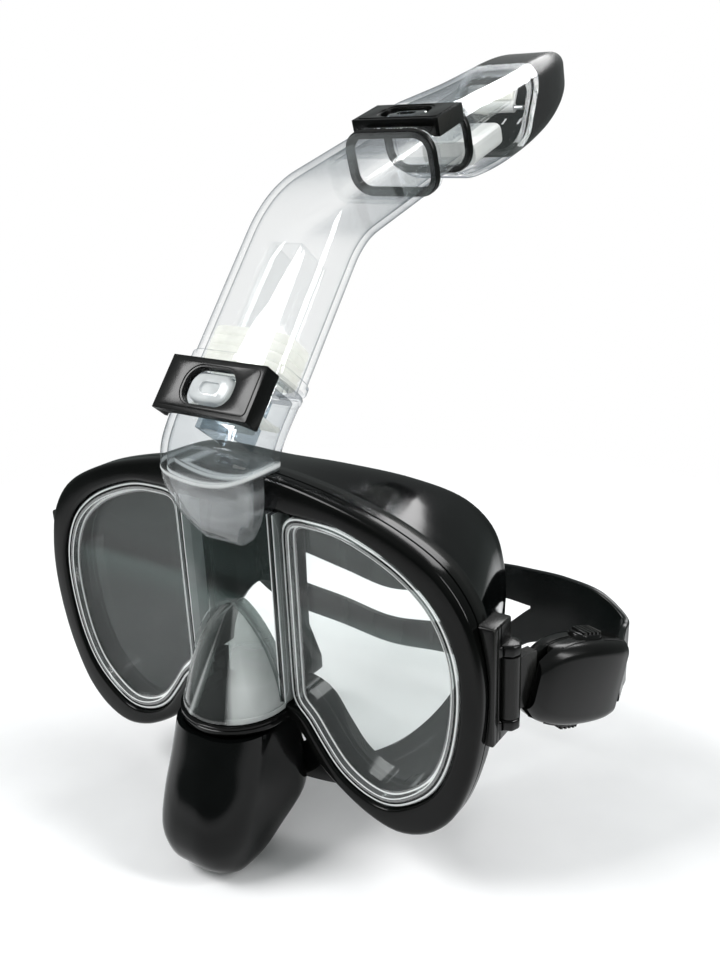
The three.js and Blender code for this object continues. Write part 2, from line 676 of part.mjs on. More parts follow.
function buckleTongue() {
  const height = 2 * TONGUE_HALF_HEIGHT;
  const eye = new THREE.CylinderGeometry(TONGUE_EYE, TONGUE_EYE, height, 20).rotateX(Math.PI / 2);
  const web = new THREE.BoxGeometry(3.6, 8, height - 3).translate(0, 4.4, 0);
  const bore = new THREE.CylinderGeometry(PIN_RADIUS + GAP, PIN_RADIUS + GAP, 60, 20).rotateX(Math.PI / 2);
  const [eyeSolid, webSolid, boreSolid] = [eye, web, bore]
    .map((geometry) => solidOfGeometry(geometry.rotateX(DROOP)));
  return less(union(eyeSolid, webSolid), boreSolid);
}

function buckleBody() {
  const room = buckleOuter(BUCKLE_WALL);
  return union(buckleShell(0.15, 20), less(buckleTongue(), room, block(1.9, 20, 5, 60, -30, 30)));
}

const buckleCover = () => less(buckleShell(-20, 0.45), block(-20, 2.3, -10, 11.6, -30, 30));

function pinchButton(up) {
  const outline = roundRect({ x: 3.2, y: 5.4, r: 3.1 }, 0, [0, PINCH_AT]);
  return up ? prismZ(outline, 10.4, 14.6) : prismZ(outline, -14.6, -10.4);
}

const strapEnd = () => block(1.8, 3.6, 33.2, 44.6, -9.3, 9.3);

// ---------------------------------------------------------------- strap
function strapEdge(column, from) {
  const half = STRAP_HALF.slice(from).map((row) => V(row[0], row[1], row[column]));
  const other = half.slice(0, -1).reverse().map((p) => V(-p.x, p.y, p.z));
  return new THREE.CatmullRomCurve3([...half, ...other], false, 'catmullrom', 0.5);
}

function strapSheet(top, bottom, thickness, steps) {
  const rings = Array.from({ length: steps + 1 }, (_, i) => {
    const t = i / steps;
    const run = top.getTangent(t).setZ(0).normalize();
    const side = V(-run.y, run.x, 0).multiplyScalar(thickness / 2);
    return [[top, 1], [bottom, 1], [bottom, -1], [top, -1]]
      .map(([edge, a]) => edge.getPoint(t).addScaledVector(side, a));
  });
  return ringSolid(rings, false);
}

function strap() {
  const whole = strapSheet(strapEdge(2, 0), strapEdge(5, 0), STRAP_THICKNESS, 42);
  const slot = strapSheet(strapEdge(3, SLOT_STATION), strapEdge(4, SLOT_STATION), 6 * STRAP_THICKNESS, 24);
  return less(whole, slot);
}

// ---------------------------------------------------------------- assembly
const model = new THREE.Group();
model.position.y = -PANE_THICKNESS;

function mesh(group, name, solid, material) {
  const piece = new THREE.Mesh(geometryOf(solid), material());
  piece.name = name;
  group.add(piece);
  return piece;
}

// A group at the snorkel's bend whose +z runs along one leg of the tube and whose -y faces forward.
function stemGroup(tilt) {
  const stem = new THREE.Group();
  stem.position.copy(BEND);
  stem.rotation.x = -tilt;
  model.add(stem);
  return stem;
}

function mask() {
  mesh(model, 'lens', lens(), clear);
  mesh(model, 'nose_window', noseWindow(), clear);
  mesh(model, 'front_frame', frontFrame(), blackPlastic);
  mesh(model, 'retaining_frame', retainingFrame(), blackPlastic);
  mesh(model, 'skirt', skirt(), blackRubber);
  mesh(model, 'air_guide', airGuide(), blackRubber);
  mesh(model, 'port_gasket', portGasket(), blackRubber);
  mesh(model, 'strap', strap(), blackRubber);
}

function connector() {
  mesh(model, 'connector_housing', connectorHousing(), clear);
  const stem = stemGroup(LOWER_TILT);
  mesh(stem, 'channel_divider', channelDivider(), clear);
  mesh(stem, 'inhale_flap', flap(-4.3, 4.3, -4.4, -70), milkyRubber);
  mesh(stem, 'exhale_flap_left', flap(6.6, 12.6, -5.2, -68), milkyRubber);
  mesh(stem, 'exhale_flap_right', flap(-12.6, -6.6, -5.2, -68), milkyRubber);
  mesh(stem, 'ribbed_seal', ribbedSeal(), milkyRubber);
  mesh(stem, 'lower_clip', clip(TUBE, 17.4, 13.4, 6, LOWER_CLIP_AT), blackPlastic);
  mesh(stem, 'lower_button', pressButton(13, 9.4, LOWER_CLIP_AT), clear);
}

function snorkel() {
  mesh(model, 'mid_tube', midTube(), clear);
  mesh(stemGroup(LOWER_TILT), 'tube_divider', tubeDivider(), clear);
  const stem = stemGroup(UPPER_TILT);
  const tubeGasket = gasket(roundRect(TUBE, 0.7), roundRect(TUBE_BORE), 45.5, 47.8);
  const neckGasket = gasket(roundRect(NECK, 2.6), roundRect(NECK, GAP), 69.6, 71.9);
  mesh(stem, 'tube_gasket', tubeGasket, blackRubber);
  mesh(stem, 'float_chamber', floatChamber(), clear);
  mesh(stem, 'neck_gasket', neckGasket, blackRubber);
  mesh(stem, 'upper_clip', clip(NECK, 17, 12.9, 6, UPPER_CLIP_AT), blackPlastic);
  mesh(stem, 'upper_button', pressButton(12.4, 8, UPPER_CLIP_AT), clear);
  mesh(stem, 'top_cap', topCap(), smoke);
  mesh(stem, 'float', floatBody(), whitePlastic);
  mesh(stem, 'flap_pin', rod(0.8, 28.4, 'x', FLAP_HINGE, 16), steel);
  const hinge = new THREE.Group();
  hinge.position.copy(FLAP_HINGE);
  hinge.rotation.x = -FLAP_OPEN;
  stem.add(hinge);
  mesh(hinge, 'valve_flap', valveFlap(), whitePlastic);
  mesh(hinge, 'valve_pad', valvePad(), milkyRubber);
}

// Geometry drawn for the wearer's left is mirrored for the right.
function sided(piece, side) {
  if (side < 0) {
    piece.geometry.scale(-1, 1, 1);
    const index = piece.geometry.index.array;
    for (let i = 0; i < index.length; i += 3) {
      [index[i], index[i + 1]] = [index[i + 1], index[i]];
    }
  }
}

function strapFitting(side, word) {
  sided(mesh(model, `strap_lug_${word}`, strapLug(), blackPlastic), side);
  sided(mesh(model, `hinge_pin_${word}`, rod(PIN_RADIUS, 26, 'z', PIN), steel), side);
  const swivel = new THREE.Group();
  swivel.position.set(side * PIN.x, PIN.y, PIN.z);
  swivel.rotation.z = -side * SWING;
  model.add(swivel);
  const drooped = new THREE.Group();
  drooped.rotation.x = -DROOP;
  swivel.add(drooped);
  sided(mesh(drooped, `buckle_body_${word}`, buckleBody(), blackPlastic), side);
  sided(mesh(drooped, `buckle_cover_${word}`, buckleCover(), blackPlastic), side);
  sided(mesh(drooped, `release_top_${word}`, pinchButton(true), blackPlastic), side);
  sided(mesh(drooped, `release_bottom_${word}`, pinchButton(false), blackPlastic), side);
  sided(mesh(drooped, `strap_roller_${word}`, rod(2.4, 17, 'z', V(-1.4, 33.5, 0), 16), blackPlastic), side);
  sided(mesh(drooped, `strap_end_${word}`, strapEnd(), blackRubber), side);
}

mask();
connector();
snorkel();
strapFitting(1, 'left');
strapFitting(-1, 'right');

const part = new THREE.Group();
part.add(model);

export default part;
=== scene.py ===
import math

import bmesh
import bpy
import numpy as np
from mathutils import Matrix, Vector


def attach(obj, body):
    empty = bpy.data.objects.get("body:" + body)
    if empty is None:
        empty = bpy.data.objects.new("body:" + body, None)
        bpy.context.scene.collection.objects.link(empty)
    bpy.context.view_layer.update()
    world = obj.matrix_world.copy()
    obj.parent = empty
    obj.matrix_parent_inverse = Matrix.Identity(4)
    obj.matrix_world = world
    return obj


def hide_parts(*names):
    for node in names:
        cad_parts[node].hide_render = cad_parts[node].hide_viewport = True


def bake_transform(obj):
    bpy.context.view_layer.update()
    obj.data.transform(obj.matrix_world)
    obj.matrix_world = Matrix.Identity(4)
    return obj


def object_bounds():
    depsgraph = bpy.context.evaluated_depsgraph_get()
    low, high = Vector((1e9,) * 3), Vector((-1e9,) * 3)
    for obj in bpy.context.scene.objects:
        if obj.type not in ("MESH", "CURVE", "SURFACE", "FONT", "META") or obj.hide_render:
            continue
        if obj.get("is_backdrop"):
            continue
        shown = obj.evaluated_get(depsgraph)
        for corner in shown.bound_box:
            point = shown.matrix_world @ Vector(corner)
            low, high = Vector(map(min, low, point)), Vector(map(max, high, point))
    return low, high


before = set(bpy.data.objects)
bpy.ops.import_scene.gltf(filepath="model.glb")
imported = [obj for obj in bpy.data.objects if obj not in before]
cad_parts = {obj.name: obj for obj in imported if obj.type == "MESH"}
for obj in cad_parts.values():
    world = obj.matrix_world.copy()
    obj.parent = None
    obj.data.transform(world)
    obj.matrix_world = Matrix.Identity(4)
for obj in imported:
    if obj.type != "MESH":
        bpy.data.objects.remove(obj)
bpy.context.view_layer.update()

# ---------------------------------------------------------------- drawing frame, millimetres
# The shapes are drawn in millimetres with y = 0 on the front of the centre pane.
PANE_THICKNESS = 3
GAP = 0.3
TO_ROW = Matrix.Diagonal((0.001, 0.001, 0.001, 1)) @ Matrix.Translation((0, -PANE_THICKNESS, 0))

LENS_HALF = [
    (0, 24.2), (18, 24.2), (30, 24.2), (39, 23.6), (51.5, 19.5), (61, 14.5), (70, 6.5), (75.5, -4),
    (77.5, -14), (77, -28), (74, -42), (69, -52), (60, -60), (53, -63), (45, -62), (36, -57),
    (29, -48.5), (23, -40.5), (17, -38.5), (0, -38.5),
]
FRAME_HALF = [
    (0, 35), (16, 34.5), (37, 31), (57, 25), (71.5, 17), (79.5, 7), (83, -4), (84.5, -16),
    (83.5, -32), (80, -47), (74, -60), (66, -67.5), (57, -70.5), (48, -69), (38, -64), (29, -57),
    (22.5, -48), (17.5, -43.5), (0, -43.5),
]
FACE_HALF = [
    (0, 31), (20, 30.5), (40, 27), (54, 20.5), (62, 10), (65.3, -6), (65, -25), (62, -42),
    (56, -57), (46, -68), (32, -74.5), (15, -75.5), (0, -74.5),
]
OUTLINE_POINTS = 176

BEND = Vector((0, 51.5, 101))
LOWER_TILT, UPPER_TILT = 40, 73.2
TUBE = (17, 10.5, 7)
TUBE_BORE = (15, 8.5, 5)
LOWER_SPIGOT = (12.7, 6.2, 3.6)
UPPER_SPIGOT = (14.7, 8.2, 4.7)
NECK = (15, 9, 6)
BUTTON = (7.6, 4.3, 3.8)
LOWER_CLIP_AT, UPPER_CLIP_AT = -65.6, 60.4
CLIP_WINDOW = (8.8, 5.4, 4.6)
NOSE_APEX, NOSE_FOOT, NOSE_HALF_WIDTH, NOSE_REACH, NOSE_WALL = -8, -39, 17, 16.5, 1.8
PIN = Vector((87, 13, -16))
LUG_FACE = 86.2


def stem(tilt):
    """Matrix of one leg of the snorkel: local z runs up the leg, local y to its rear."""
    lean = math.radians(tilt)
    rear = Vector((0, math.cos(lean), -math.sin(lean)))
    up = Vector((0, math.sin(lean), math.cos(lean)))
    rows = [(1, 0, 0, BEND.x), (0, rear.y, up.y, BEND.y), (0, rear.z, up.z, BEND.z), (0, 0, 0, 1)]
    return Matrix(rows)


LOWER, UPPER = stem(LOWER_TILT), stem(UPPER_TILT)
ACROSS = Matrix(((1, 0, 0, 0), (0, 0, 1, 0), (0, 1, 0, 0), (0, 0, 0, 1)))  # prisms along y


# ---------------------------------------------------------------- curves
def through(stack, steps, closed=False):
    """A centripetal curve through points, or through whole rings of points."""
    stack = np.asarray(stack, float)
    if closed:
        q = np.concatenate([stack[-1:], stack, stack[:2]])
    else:
        q = np.concatenate([[2 * stack[0] - stack[1]], stack, [2 * stack[-1] - stack[-2]]])
    spans = np.diff(q, axis=0).reshape(len(q) - 1, -1, stack.shape[-1])
    gap = np.maximum(np.sqrt(np.linalg.norm(spans, axis=-1).mean(axis=1)), 1e-3)
    made = []
    for i in range(1, len(q) - 2):
        a, b, c = gap[i - 1], gap[i], gap[i + 1]
        start = ((q[i] - q[i - 1]) / a - (q[i + 1] - q[i - 1]) / (a + b) + (q[i + 1] - q[i]) / b) * b
        end = ((q[i + 1] - q[i]) / b - (q[i + 2] - q[i]) / (b + c) + (q[i + 2] - q[i + 1]) / c) * b
        for s in np.arange(steps) / steps:
            made.append(
                (2 * s**3 - 3 * s**2 + 1) * q[i] + (s**3 - 2 * s**2 + s) * start
                + (3 * s**2 - 2 * s**3) * q[i + 1] + (s**3 - s**2) * end
            )
    if not closed:
        made.append(stack[-1])
    return np.array(made)


def flow(rings, steps, hard=()):
    """Rings of a smooth wall, with a crease at each ring whose index is in hard."""
    stops = [0, *hard, len(rings) - 1]
    made = []
    for first, last in zip(stops, stops[1:]):
        if last > first:
            part = rings[first:last + 1]
            made += list(part if len(part) == 2 else through(part, steps))[:-1]
    return made + [np.asarray(rings[-1], float)]


def resampled(points, count):
    """Evenly spaced points round a closed outline."""
    loop = np.concatenate([points, points[:1]])
    run = np.concatenate([[0], np.cumsum(np.linalg.norm(np.diff(loop, axis=0), axis=1))])
    at = np.linspace(0, run[-1], count, endpoint=False)
    return np.stack([np.interp(at, run, loop[:, k]) for k in range(2)], axis=1)


def mirrored(half):
    right = [(-x, z) for x, z in reversed(half) if x > 0]
    return resampled(through(list(half) + right, 24, closed=True), OUTLINE_POINTS)


def offset(outline, distance):
    """A clockwise outline moved outwards by a distance."""
    along = np.roll(outline, -1, axis=0) - np.roll(outline, 1, axis=0)
    along /= np.linalg.norm(along, axis=1)[:, None]
    return outline + np.stack([-along[:, 1], along[:, 0]], axis=1) * distance


def round_rect(size, grow=0.0, at=(0, 0), corner=8):
    hx, hy, radius = size[0] + grow, size[1] + grow, max(size[2] + grow, 0.3)
    loop = []
    for k, (sx, sy) in enumerate([(1, 1), (-1, 1), (-1, -1), (1, -1)]):
        for i in range(corner + 1):
            turn = (k + i / corner) * math.pi / 2
            loop.append((
                at[0] + sx * (hx - radius) + radius * math.cos(turn),
                at[1] + sy * (hy - radius) + radius * math.sin(turn),
            ))
    return np.array(loop)


def at_depth(outline, y):
    return np.array([(p[0], y, p[1]) for p in outline])


def at_height(loop, z):
    return np.array([(p[0], p[1], z) for p in loop])


lens_outline = mirrored(LENS_HALF)
frame_outline = mirrored(FRAME_HALF)
face_outline = mirrored(FACE_HALF)


# ---------------------------------------------------------------- solids
def solid(points, faces):
    mesh = bpy.data.meshes.new("work")
    mesh.from_pydata([tuple(p) for p in points], [], faces)
    shape = bmesh.new()
    shape.from_mesh(mesh)
    bmesh.ops.remove_doubles(shape, verts=shape.verts, dist=1e-4)
    bmesh.ops.recalc_face_normals(shape, faces=shape.faces)
    shape.to_mesh(mesh)
    shape.free()
    made = bpy.data.objects.new("work", mesh)
    bpy.context.scene.collection.objects.link(made)
    return made


def loft(rings, closed=False):
    count = len(rings[0])
    faces = []
    for k in range(len(rings) if closed else len(rings) - 1):
        a, b = k * count, (k + 1) % len(rings) * count
        for i in range(count):
            j = (i + 1) % count
            faces.append((a + i, a + j, b + j, b + i))
    if not closed:
        faces.append(tuple(range(count)))
        faces.append(tuple(range((len(rings) - 1) * count, len(rings) * count)))
    return solid(np.concatenate(rings), faces)


def prism(outline, low, high, matrix=Matrix()):
    return moved(loft([at_height(outline, low), at_height(outline, high)]), matrix)


def box(x0, x1, y0, y1, z0, z1, matrix=Matrix()):
    return prism([(x0, y0), (x1, y0), (x1, y1), (x0, y1)], z0, z1, matrix)


def rod(radius, low, high, matrix=Matrix(), sides=40):
    turn = [2 * math.pi * i / sides for i in range(sides)]
    return prism([(radius * math.cos(t), radius * math.sin(t)) for t in turn], low, high, matrix)


def moved(shape, matrix):
    shape.data.transform(matrix)
    if matrix.determinant() < 0:
        shape.data.flip_normals()
    return shape


def applied(shape):
    bpy.context.view_layer.update()
    graph = bpy.context.evaluated_depsgraph_get()
    mesh = bpy.data.meshes.new_from_object(shape.evaluated_get(graph))
    shape.modifiers.clear()
    shape.data = mesh
    return shape


def combined(shape, others, operation):
    for other in others:
        change = shape.modifiers.new("change", "BOOLEAN")
        change.operation = operation
        change.solver = "EXACT"
        change.object = other
        applied(shape)
        bpy.data.objects.remove(other)
    return shape


def union(shape, *others):
    return combined(shape, others, "UNION")


def less(shape, *others):
    return combined(shape, others, "DIFFERENCE")


def common(shape, other):
    return combined(shape, [other], "INTERSECT")


def softened(shape, width, segments=3, angle=32):
    change = shape.modifiers.new("soften", "BEVEL")
    change.width = width
    change.segments = segments
    change.limit_method = "ANGLE"
    change.angle_limit = math.radians(angle)
    change.use_clamp_overlap = True
    return applied(shape)


def joined(shape, *others):
    """Separate closed shells kept together as one piece."""
    whole = bmesh.new()
    whole.from_mesh(shape.data)
    for other in others:
        whole.from_mesh(other.data)
        bpy.data.objects.remove(other)
    whole.to_mesh(shape.data)
    whole.free()
    return shape


def rimmed(shape, axes, slot_index=1, limit=0.72):
    """Faces that look along none of the axes take the piece's second material."""
    for face in shape.data.polygons:
        if all(abs(face.normal.dot(axis)) < limit for axis in axes):
            face.material_index = slot_index
    return shape


def shown(shape, name, body, materials, nodes, smooth=38, flex=None):
    """Makes a work solid a finished piece that stands for CAD nodes.

    When flex is given the piece stays in world space and is not attached to its body; the second body and
    bend ends it names are not used.
    """
    shape.name = name
    shape.data.name = name
    shape.data.transform(TO_ROW)
    for material in materials:
        shape.data.materials.append(material)
    shape.data.shade_smooth()
    shape.data.set_sharp_from_angle(angle=math.radians(smooth))
    if flex:
        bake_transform(shape)
    else:
        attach(shape, body)
    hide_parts(*nodes)
    return shape


# ---------------------------------------------------------------- materials
def add(tree, kind, inputs=None, **settings):
    made = tree.nodes.new("ShaderNode" + kind)
    for key, value in settings.items():
        setattr(made, key, value)
    for key, value in (inputs or {}).items():
        if isinstance(value, bpy.types.NodeSocket):
            tree.links.new(value, made.inputs[key])
        else:
            made.inputs[key].default_value = value
    return made


def new_material(name):
    material = bpy.data.materials.new(name)
    material.use_nodes = True
    material.node_tree.nodes.clear()
    return material, material.node_tree


def ramp(tree, fac, low, high, start=0.0, end=1.0):
    made = add(tree, "ValToRGB", {"Fac": fac})
    made.color_ramp.elements[0].position = start
    made.color_ramp.elements[1].position = end
    made.color_ramp.elements[0].color = (*low, 1)
    made.color_ramp.elements[1].color = (*high, 1)
    return made.outputs["Color"]


def streaks(tree, at, stops):
    """A row of grey levels along a 0 to 1 value."""
    made = add(tree, "ValToRGB", {"Fac": at})
    dots = made.color_ramp.elements
    while len(dots) < len(stops):
        dots.new(0.5)
    for dot, (position, light) in zip(dots, stops):
        dot.position = position
        dot.color = (light, light, light, 1)
    return made.outputs["Color"]


def grain(tree, scale, detail=3.0):
    where = add(tree, "TexCoord").outputs["Object"]
    return add(tree, "TexNoise", {"Vector": where, "Scale": scale, "Detail": detail}).outputs["Fac"]


def bumped(tree, height, strength, distance=0.0002):
    inputs = {"Height": height, "Strength": strength, "Distance": distance}
    return add(tree, "Bump", inputs).outputs["Normal"]


def opaque(name, low, high, smooth, rough, fine=1800, bump=0.15, worn=(0.1, 0.1, 0.1), specular=0.5):
    """Moulded plastic or silicone: mottled colour, uneven gloss, fine skin and lighter worn edges."""
    material, tree = new_material(name)
    broad, skin = grain(tree, 60), grain(tree, fine)
    colour = ramp(tree, broad, low, high, 0.3, 0.7)
    edge = add(tree, "NewGeometry").outputs["Pointiness"]
    wear = ramp(tree, edge, (0, 0, 0), (1, 1, 1), 0.56, 0.7)
    mixed = add(tree, "Mix", {"Factor": wear}, data_type="RGBA")
    tree.links.new(colour, mixed.inputs["A"])
    mixed.inputs["B"].default_value = (*worn, 1)
    gloss = add(tree, "MapRange", {"Value": broad, "To Min": smooth, "To Max": rough})
    inputs = {
        "Base Color": mixed.outputs["Result"], "Roughness": gloss.outputs["Result"],
        "Normal": bumped(tree, skin, bump), "Specular IOR Level": specular,
    }
    surface = add(tree, "BsdfPrincipled", inputs)
    add(tree, "OutputMaterial", {"Surface": surface.outputs["BSDF"]})
    return material


def clear(name, front, grazing, power=2.0, reflect=1.0, gloss=0.03, wave=0.05, diffuse_mix=0.0,
          body=(0.85, 0.87, 0.87), bands=None):
    """Clear moulded plastic: see-through face on, tinted and reflecting at grazing angles."""
    material, tree = new_material(name)
    facing = add(tree, "LayerWeight", {"Blend": 0.5}).outputs["Facing"]
    tint = add(tree, "Math", {0: facing, 1: power}, operation="POWER").outputs[0]
    schlick = add(tree, "Math", {0: facing, 1: 5.0}, operation="POWER").outputs[0]
    share = add(tree, "Math", {0: schlick, 1: 0.9 * reflect, 2: 0.045 * reflect}, operation="MULTIPLY_ADD")
    normal = bumped(tree, grain(tree, 45, 1.0), wave, 0.002)
    through_it = add(tree, "BsdfTransparent", {"Color": ramp(tree, tint, front, grazing)})
    shine = add(tree, "BsdfGlossy", {"Color": (1, 1, 1, 1), "Roughness": gloss, "Normal": normal})
    mixed = add(tree, "MixShader", {0: share.outputs[0]})
    tree.links.new(through_it.outputs[0], mixed.inputs[1])
    tree.links.new(shine.outputs[0], mixed.inputs[2])
    # A diffuse skin in the body colour is mixed in by a fixed share or a bands pattern; on the window rims,
    # panes, connector and nose cone it is painted light and shade.
    skin = add(tree, "BsdfDiffuse", {"Color": (*body, 1)})
    surface = add(tree, "MixShader", {0: bands(tree) if bands else diffuse_mix})
    tree.links.new(mixed.outputs[0], surface.inputs[1])
    tree.links.new(skin.outputs[0], surface.inputs[2])
    add(tree, "OutputMaterial", {"Surface": surface.outputs[0]})
    return material


def pane_painted_reflection(tree):
    """Painted reflection across the panes: a thin dark line with a soft light band under it."""
    height = add(tree, "SeparateXYZ", {0: add(tree, "TexCoord").outputs["Object"]}).outputs["Z"]
    at = add(tree, "MapRange", {"Value": height, "From Min": -0.04, "From Max": 0.025}).outputs[0]
    return streaks(tree, at, [
        (0.0, 0.015), (0.35, 0.02), (0.47, 0.07), (0.5, 0.08), (0.53, 0.005), (0.6, 0.005),
        (0.64, 0.02), (1.0, 0.025),
    ])


def chin_painted_highlights(tree):
    """Painted highlight lines that run round the connector: a bright one where a ledge catches the light,
    then finer ones down the chin.
    """
    where = add(tree, "TexCoord").outputs["Object"]
    place = add(tree, "SeparateXYZ", {0: where})
    bend = add(tree, "Math", {0: place.outputs["X"], 1: place.outputs["X"]}, operation="MULTIPLY").outputs[0]
    level = add(tree, "Math", {0: bend, 1: -12.0, 2: place.outputs["Z"]}, operation="MULTIPLY_ADD").outputs[0]
    at = add(tree, "MapRange", {"Value": level, "From Min": 0.008, "From Max": 0.04}).outputs[0]
    return streaks(tree, at, [
        (0.0, 0.02), (0.15, 0.03), (0.2, 0.1), (0.25, 0.02), (0.4, 0.03), (0.44, 0.12), (0.48, 0.03),
        (0.62, 0.1), (0.66, 0.02), (0.76, 0.01), (0.785, 0.7), (0.8, 0.65), (0.82, 0.02), (1.0, 0.0),
    ])


def nose_painted_light(tree):
    """Painted light and shade: light and dark streaks that run up the nose cone and meet at its tip."""
    place = add(tree, "SeparateXYZ", {0: add(tree, "TexCoord").outputs["Object"]})
    drop = add(tree, "Math", {0: NOSE_APEX * 0.001 + 0.004, 1: place.outputs["Z"]}, operation="SUBTRACT")
    share = add(tree, "Math", {0: place.outputs["X"], 1: drop.outputs[0]}, operation="DIVIDE")
    at = add(tree, "MapRange", {"Value": share.outputs[0], "From Min": -0.7, "From Max": 0.7}).outputs[0]
    light = streaks(tree, at, [
        (0.0, 0.25), (0.12, 0.35), (0.22, 0.12), (0.36, 0.02), (0.39, 0.4), (0.42, 0.02),
        (0.65, 0.01), (0.7, 0.5), (0.8, 0.65), (1.0, 0.5),
    ])
    # Painted shade: the streaks fade to a quarter towards the tip of the cone.
    low = add(tree, "MapRange", {
        "Value": place.outputs["Z"], "From Min": -0.018, "From Max": -0.03, "To Min": 0.25,
    })
    return add(tree, "Math", {0: light, 1: low.outputs[0]}, operation="MULTIPLY").outputs[0]


def milky(name, colour, see_through, glow_strength):
    """Cloudy silicone with a painted glow: an emission of the given strength brightens it as if lit."""
    material, tree = new_material(name)
    cloud = grain(tree, 250)
    tone = ramp(tree, cloud, tuple(0.88 * c for c in colour), colour, 0.3, 0.7)
    skin = add(tree, "BsdfPrincipled", {
        "Base Color": tone, "Roughness": 0.35, "Normal": bumped(tree, cloud, 0.1),
    })
    glow = add(tree, "BsdfTranslucent", {"Color": tone})
    body = add(tree, "MixShader", {0: 0.6})
    tree.links.new(skin.outputs[0], body.inputs[1])
    tree.links.new(glow.outputs[0], body.inputs[2])
    # Painted glow: emission in the silicone's own tone, though it is no lamp.
    painted_glow = add(tree, "Emission", {"Color": tone, "Strength": glow_strength})
    with_painted_glow = add(tree, "AddShader")
    tree.links.new(body.outputs[0], with_painted_glow.inputs[0])
    tree.links.new(painted_glow.outputs[0], with_painted_glow.inputs[1])
    mixed = add(tree, "MixShader", {0: see_through})
    tree.links.new(with_painted_glow.outputs[0], mixed.inputs[1])
    tree.links.new(add(tree, "BsdfTransparent").outputs[0], mixed.inputs[2])
    add(tree, "OutputMaterial", {"Surface": mixed.outputs[0]})
    return material


def brushed(name):
    material, tree = new_material(name)
    where = add(tree, "TexCoord").outputs["Object"]
    stretched = add(tree, "Mapping", {"Vector": where, "Scale": (900, 900, 30)}).outputs[0]
    lines = add(tree, "TexNoise", {"Vector": stretched, "Scale": 1.0}).outputs["Fac"]
    surface = add(tree, "BsdfPrincipled", {
        "Base Color": ramp(tree, lines, (0.5, 0.51, 0.52), (0.7, 0.7, 0.71), 0.3, 0.7),
        "Metallic": 1.0, "Roughness": 0.28, "Normal": bumped(tree, lines, 0.1),
    })
    add(tree, "OutputMaterial", {"Surface": surface.outputs[0]})
    return material


black_frame = opaque("black_frame", (0.001, 0.0011, 0.0011), (0.003, 0.0033, 0.003), 0.1, 0.2,
                     bump=0.02, worn=(0.02, 0.021, 0.02), specular=0.16)
black_satin = opaque("black_satin", (0.0015, 0.0016, 0.0015), (0.004, 0.0042, 0.004), 0.16, 0.28,
                     bump=0.04, worn=(0.03, 0.03, 0.028), specular=0.22)
black_silicone = opaque("black_silicone", (0.0008, 0.001, 0.001), (0.0025, 0.003, 0.003), 0.06, 0.14,
                        fine=700, bump=0.02, worn=(0.008, 0.009, 0.009), specular=0.2)
strap_silicone = opaque("strap_silicone", (0.003, 0.0042, 0.004), (0.007, 0.0095, 0.009), 0.2, 0.3,
                        fine=1200, bump=0.02, worn=(0.02, 0.023, 0.022), specular=0.3)
white_plastic = opaque("white_plastic", (0.7, 0.7, 0.68), (0.8, 0.8, 0.78), 0.3, 0.42, worn=(0.9, 0.9, 0.88))
steel = brushed("steel")
milky_silicone = milky("milky_silicone", (0.99, 0.985, 0.94), 0.3, 0.22)
# The panes' greenish diffuse body is mixed in only by the painted reflection bands.
lens_clear = clear("lens_clear", (0.95, 0.965, 0.96), (0.5, 0.56, 0.56), reflect=0.8, gloss=0.015, wave=0.015,
                   body=(0.32, 0.46, 0.43), bands=pane_painted_reflection)
lens_rim = clear("lens_rim", (0.55, 0.58, 0.57), (0.2, 0.22, 0.22), power=1.2, reflect=3.0, gloss=0.05,
                 diffuse_mix=0.1)
# Painted highlight: a white diffuse line for the bright edges of the window rims and ribs.
rim_painted_highlight = clear("rim_painted_highlight", (0.9, 0.92, 0.92), (0.6, 0.62, 0.62), reflect=3.0, gloss=0.08, diffuse_mix=0.8)
tube_clear = clear("tube_clear", (0.994, 0.997, 0.997), (0.3, 0.37, 0.45), power=6.0, reflect=0.9, gloss=0.03,
                   wave=0.08)
tube_rim = clear("tube_rim", (0.78, 0.82, 0.84), (0.3, 0.36, 0.42), power=1.3, reflect=1.8, gloss=0.06)
button_clear = clear("button_clear", (0.95, 0.96, 0.965), (0.6, 0.64, 0.68), power=2.0, reflect=1.2,
                     gloss=0.08, wave=0.3, diffuse_mix=0.5)
# Painted shade: a dark line for the rim grooves and the ribs.
rim_painted_shade = clear("rim_painted_shade", (0.12, 0.14, 0.135), (0.03, 0.035, 0.035), power=1.2, reflect=1.0, gloss=0.1)
connector_clear = clear("connector_clear", (0.965, 0.975, 0.98), (0.15, 0.19, 0.25), power=3.5, reflect=1.3,
                        gloss=0.03, wave=0.3, bands=chin_painted_highlights)
nose_clear = clear("nose_clear", (0.5, 0.53, 0.52), (0.2, 0.22, 0.22), power=1.6, reflect=1.5, gloss=0.03,
                   body=(0.8, 0.83, 0.82), bands=nose_painted_light)
smoke = clear("smoke", (0.13, 0.133, 0.13), (0.04, 0.04, 0.04), power=1.5, reflect=0.5, gloss=0.25, diffuse_mix=0.03)


# ---------------------------------------------------------------- nose window and nose pocket


def nose_half_width(z):
    fall = min(max((z - NOSE_FOOT) / (NOSE_APEX - NOSE_FOOT), 0), 1)
    return NOSE_HALF_WIDTH * (1 - fall**1.9) ** 0.72


def nose_arc(z, grow, sides=28):
    fall = min(max((z - NOSE_FOOT) / (NOSE_APEX - NOSE_FOOT), 0), 1)
    half = max(nose_half_width(z) + grow, 0.15)
    reach = max(NOSE_REACH * (1 - fall) + grow, 0.15)
    turn = [math.pi * i / sides for i in range(sides + 1)]
    return [(half * math.cos(t), -reach * math.sin(t), z) for t in turn]


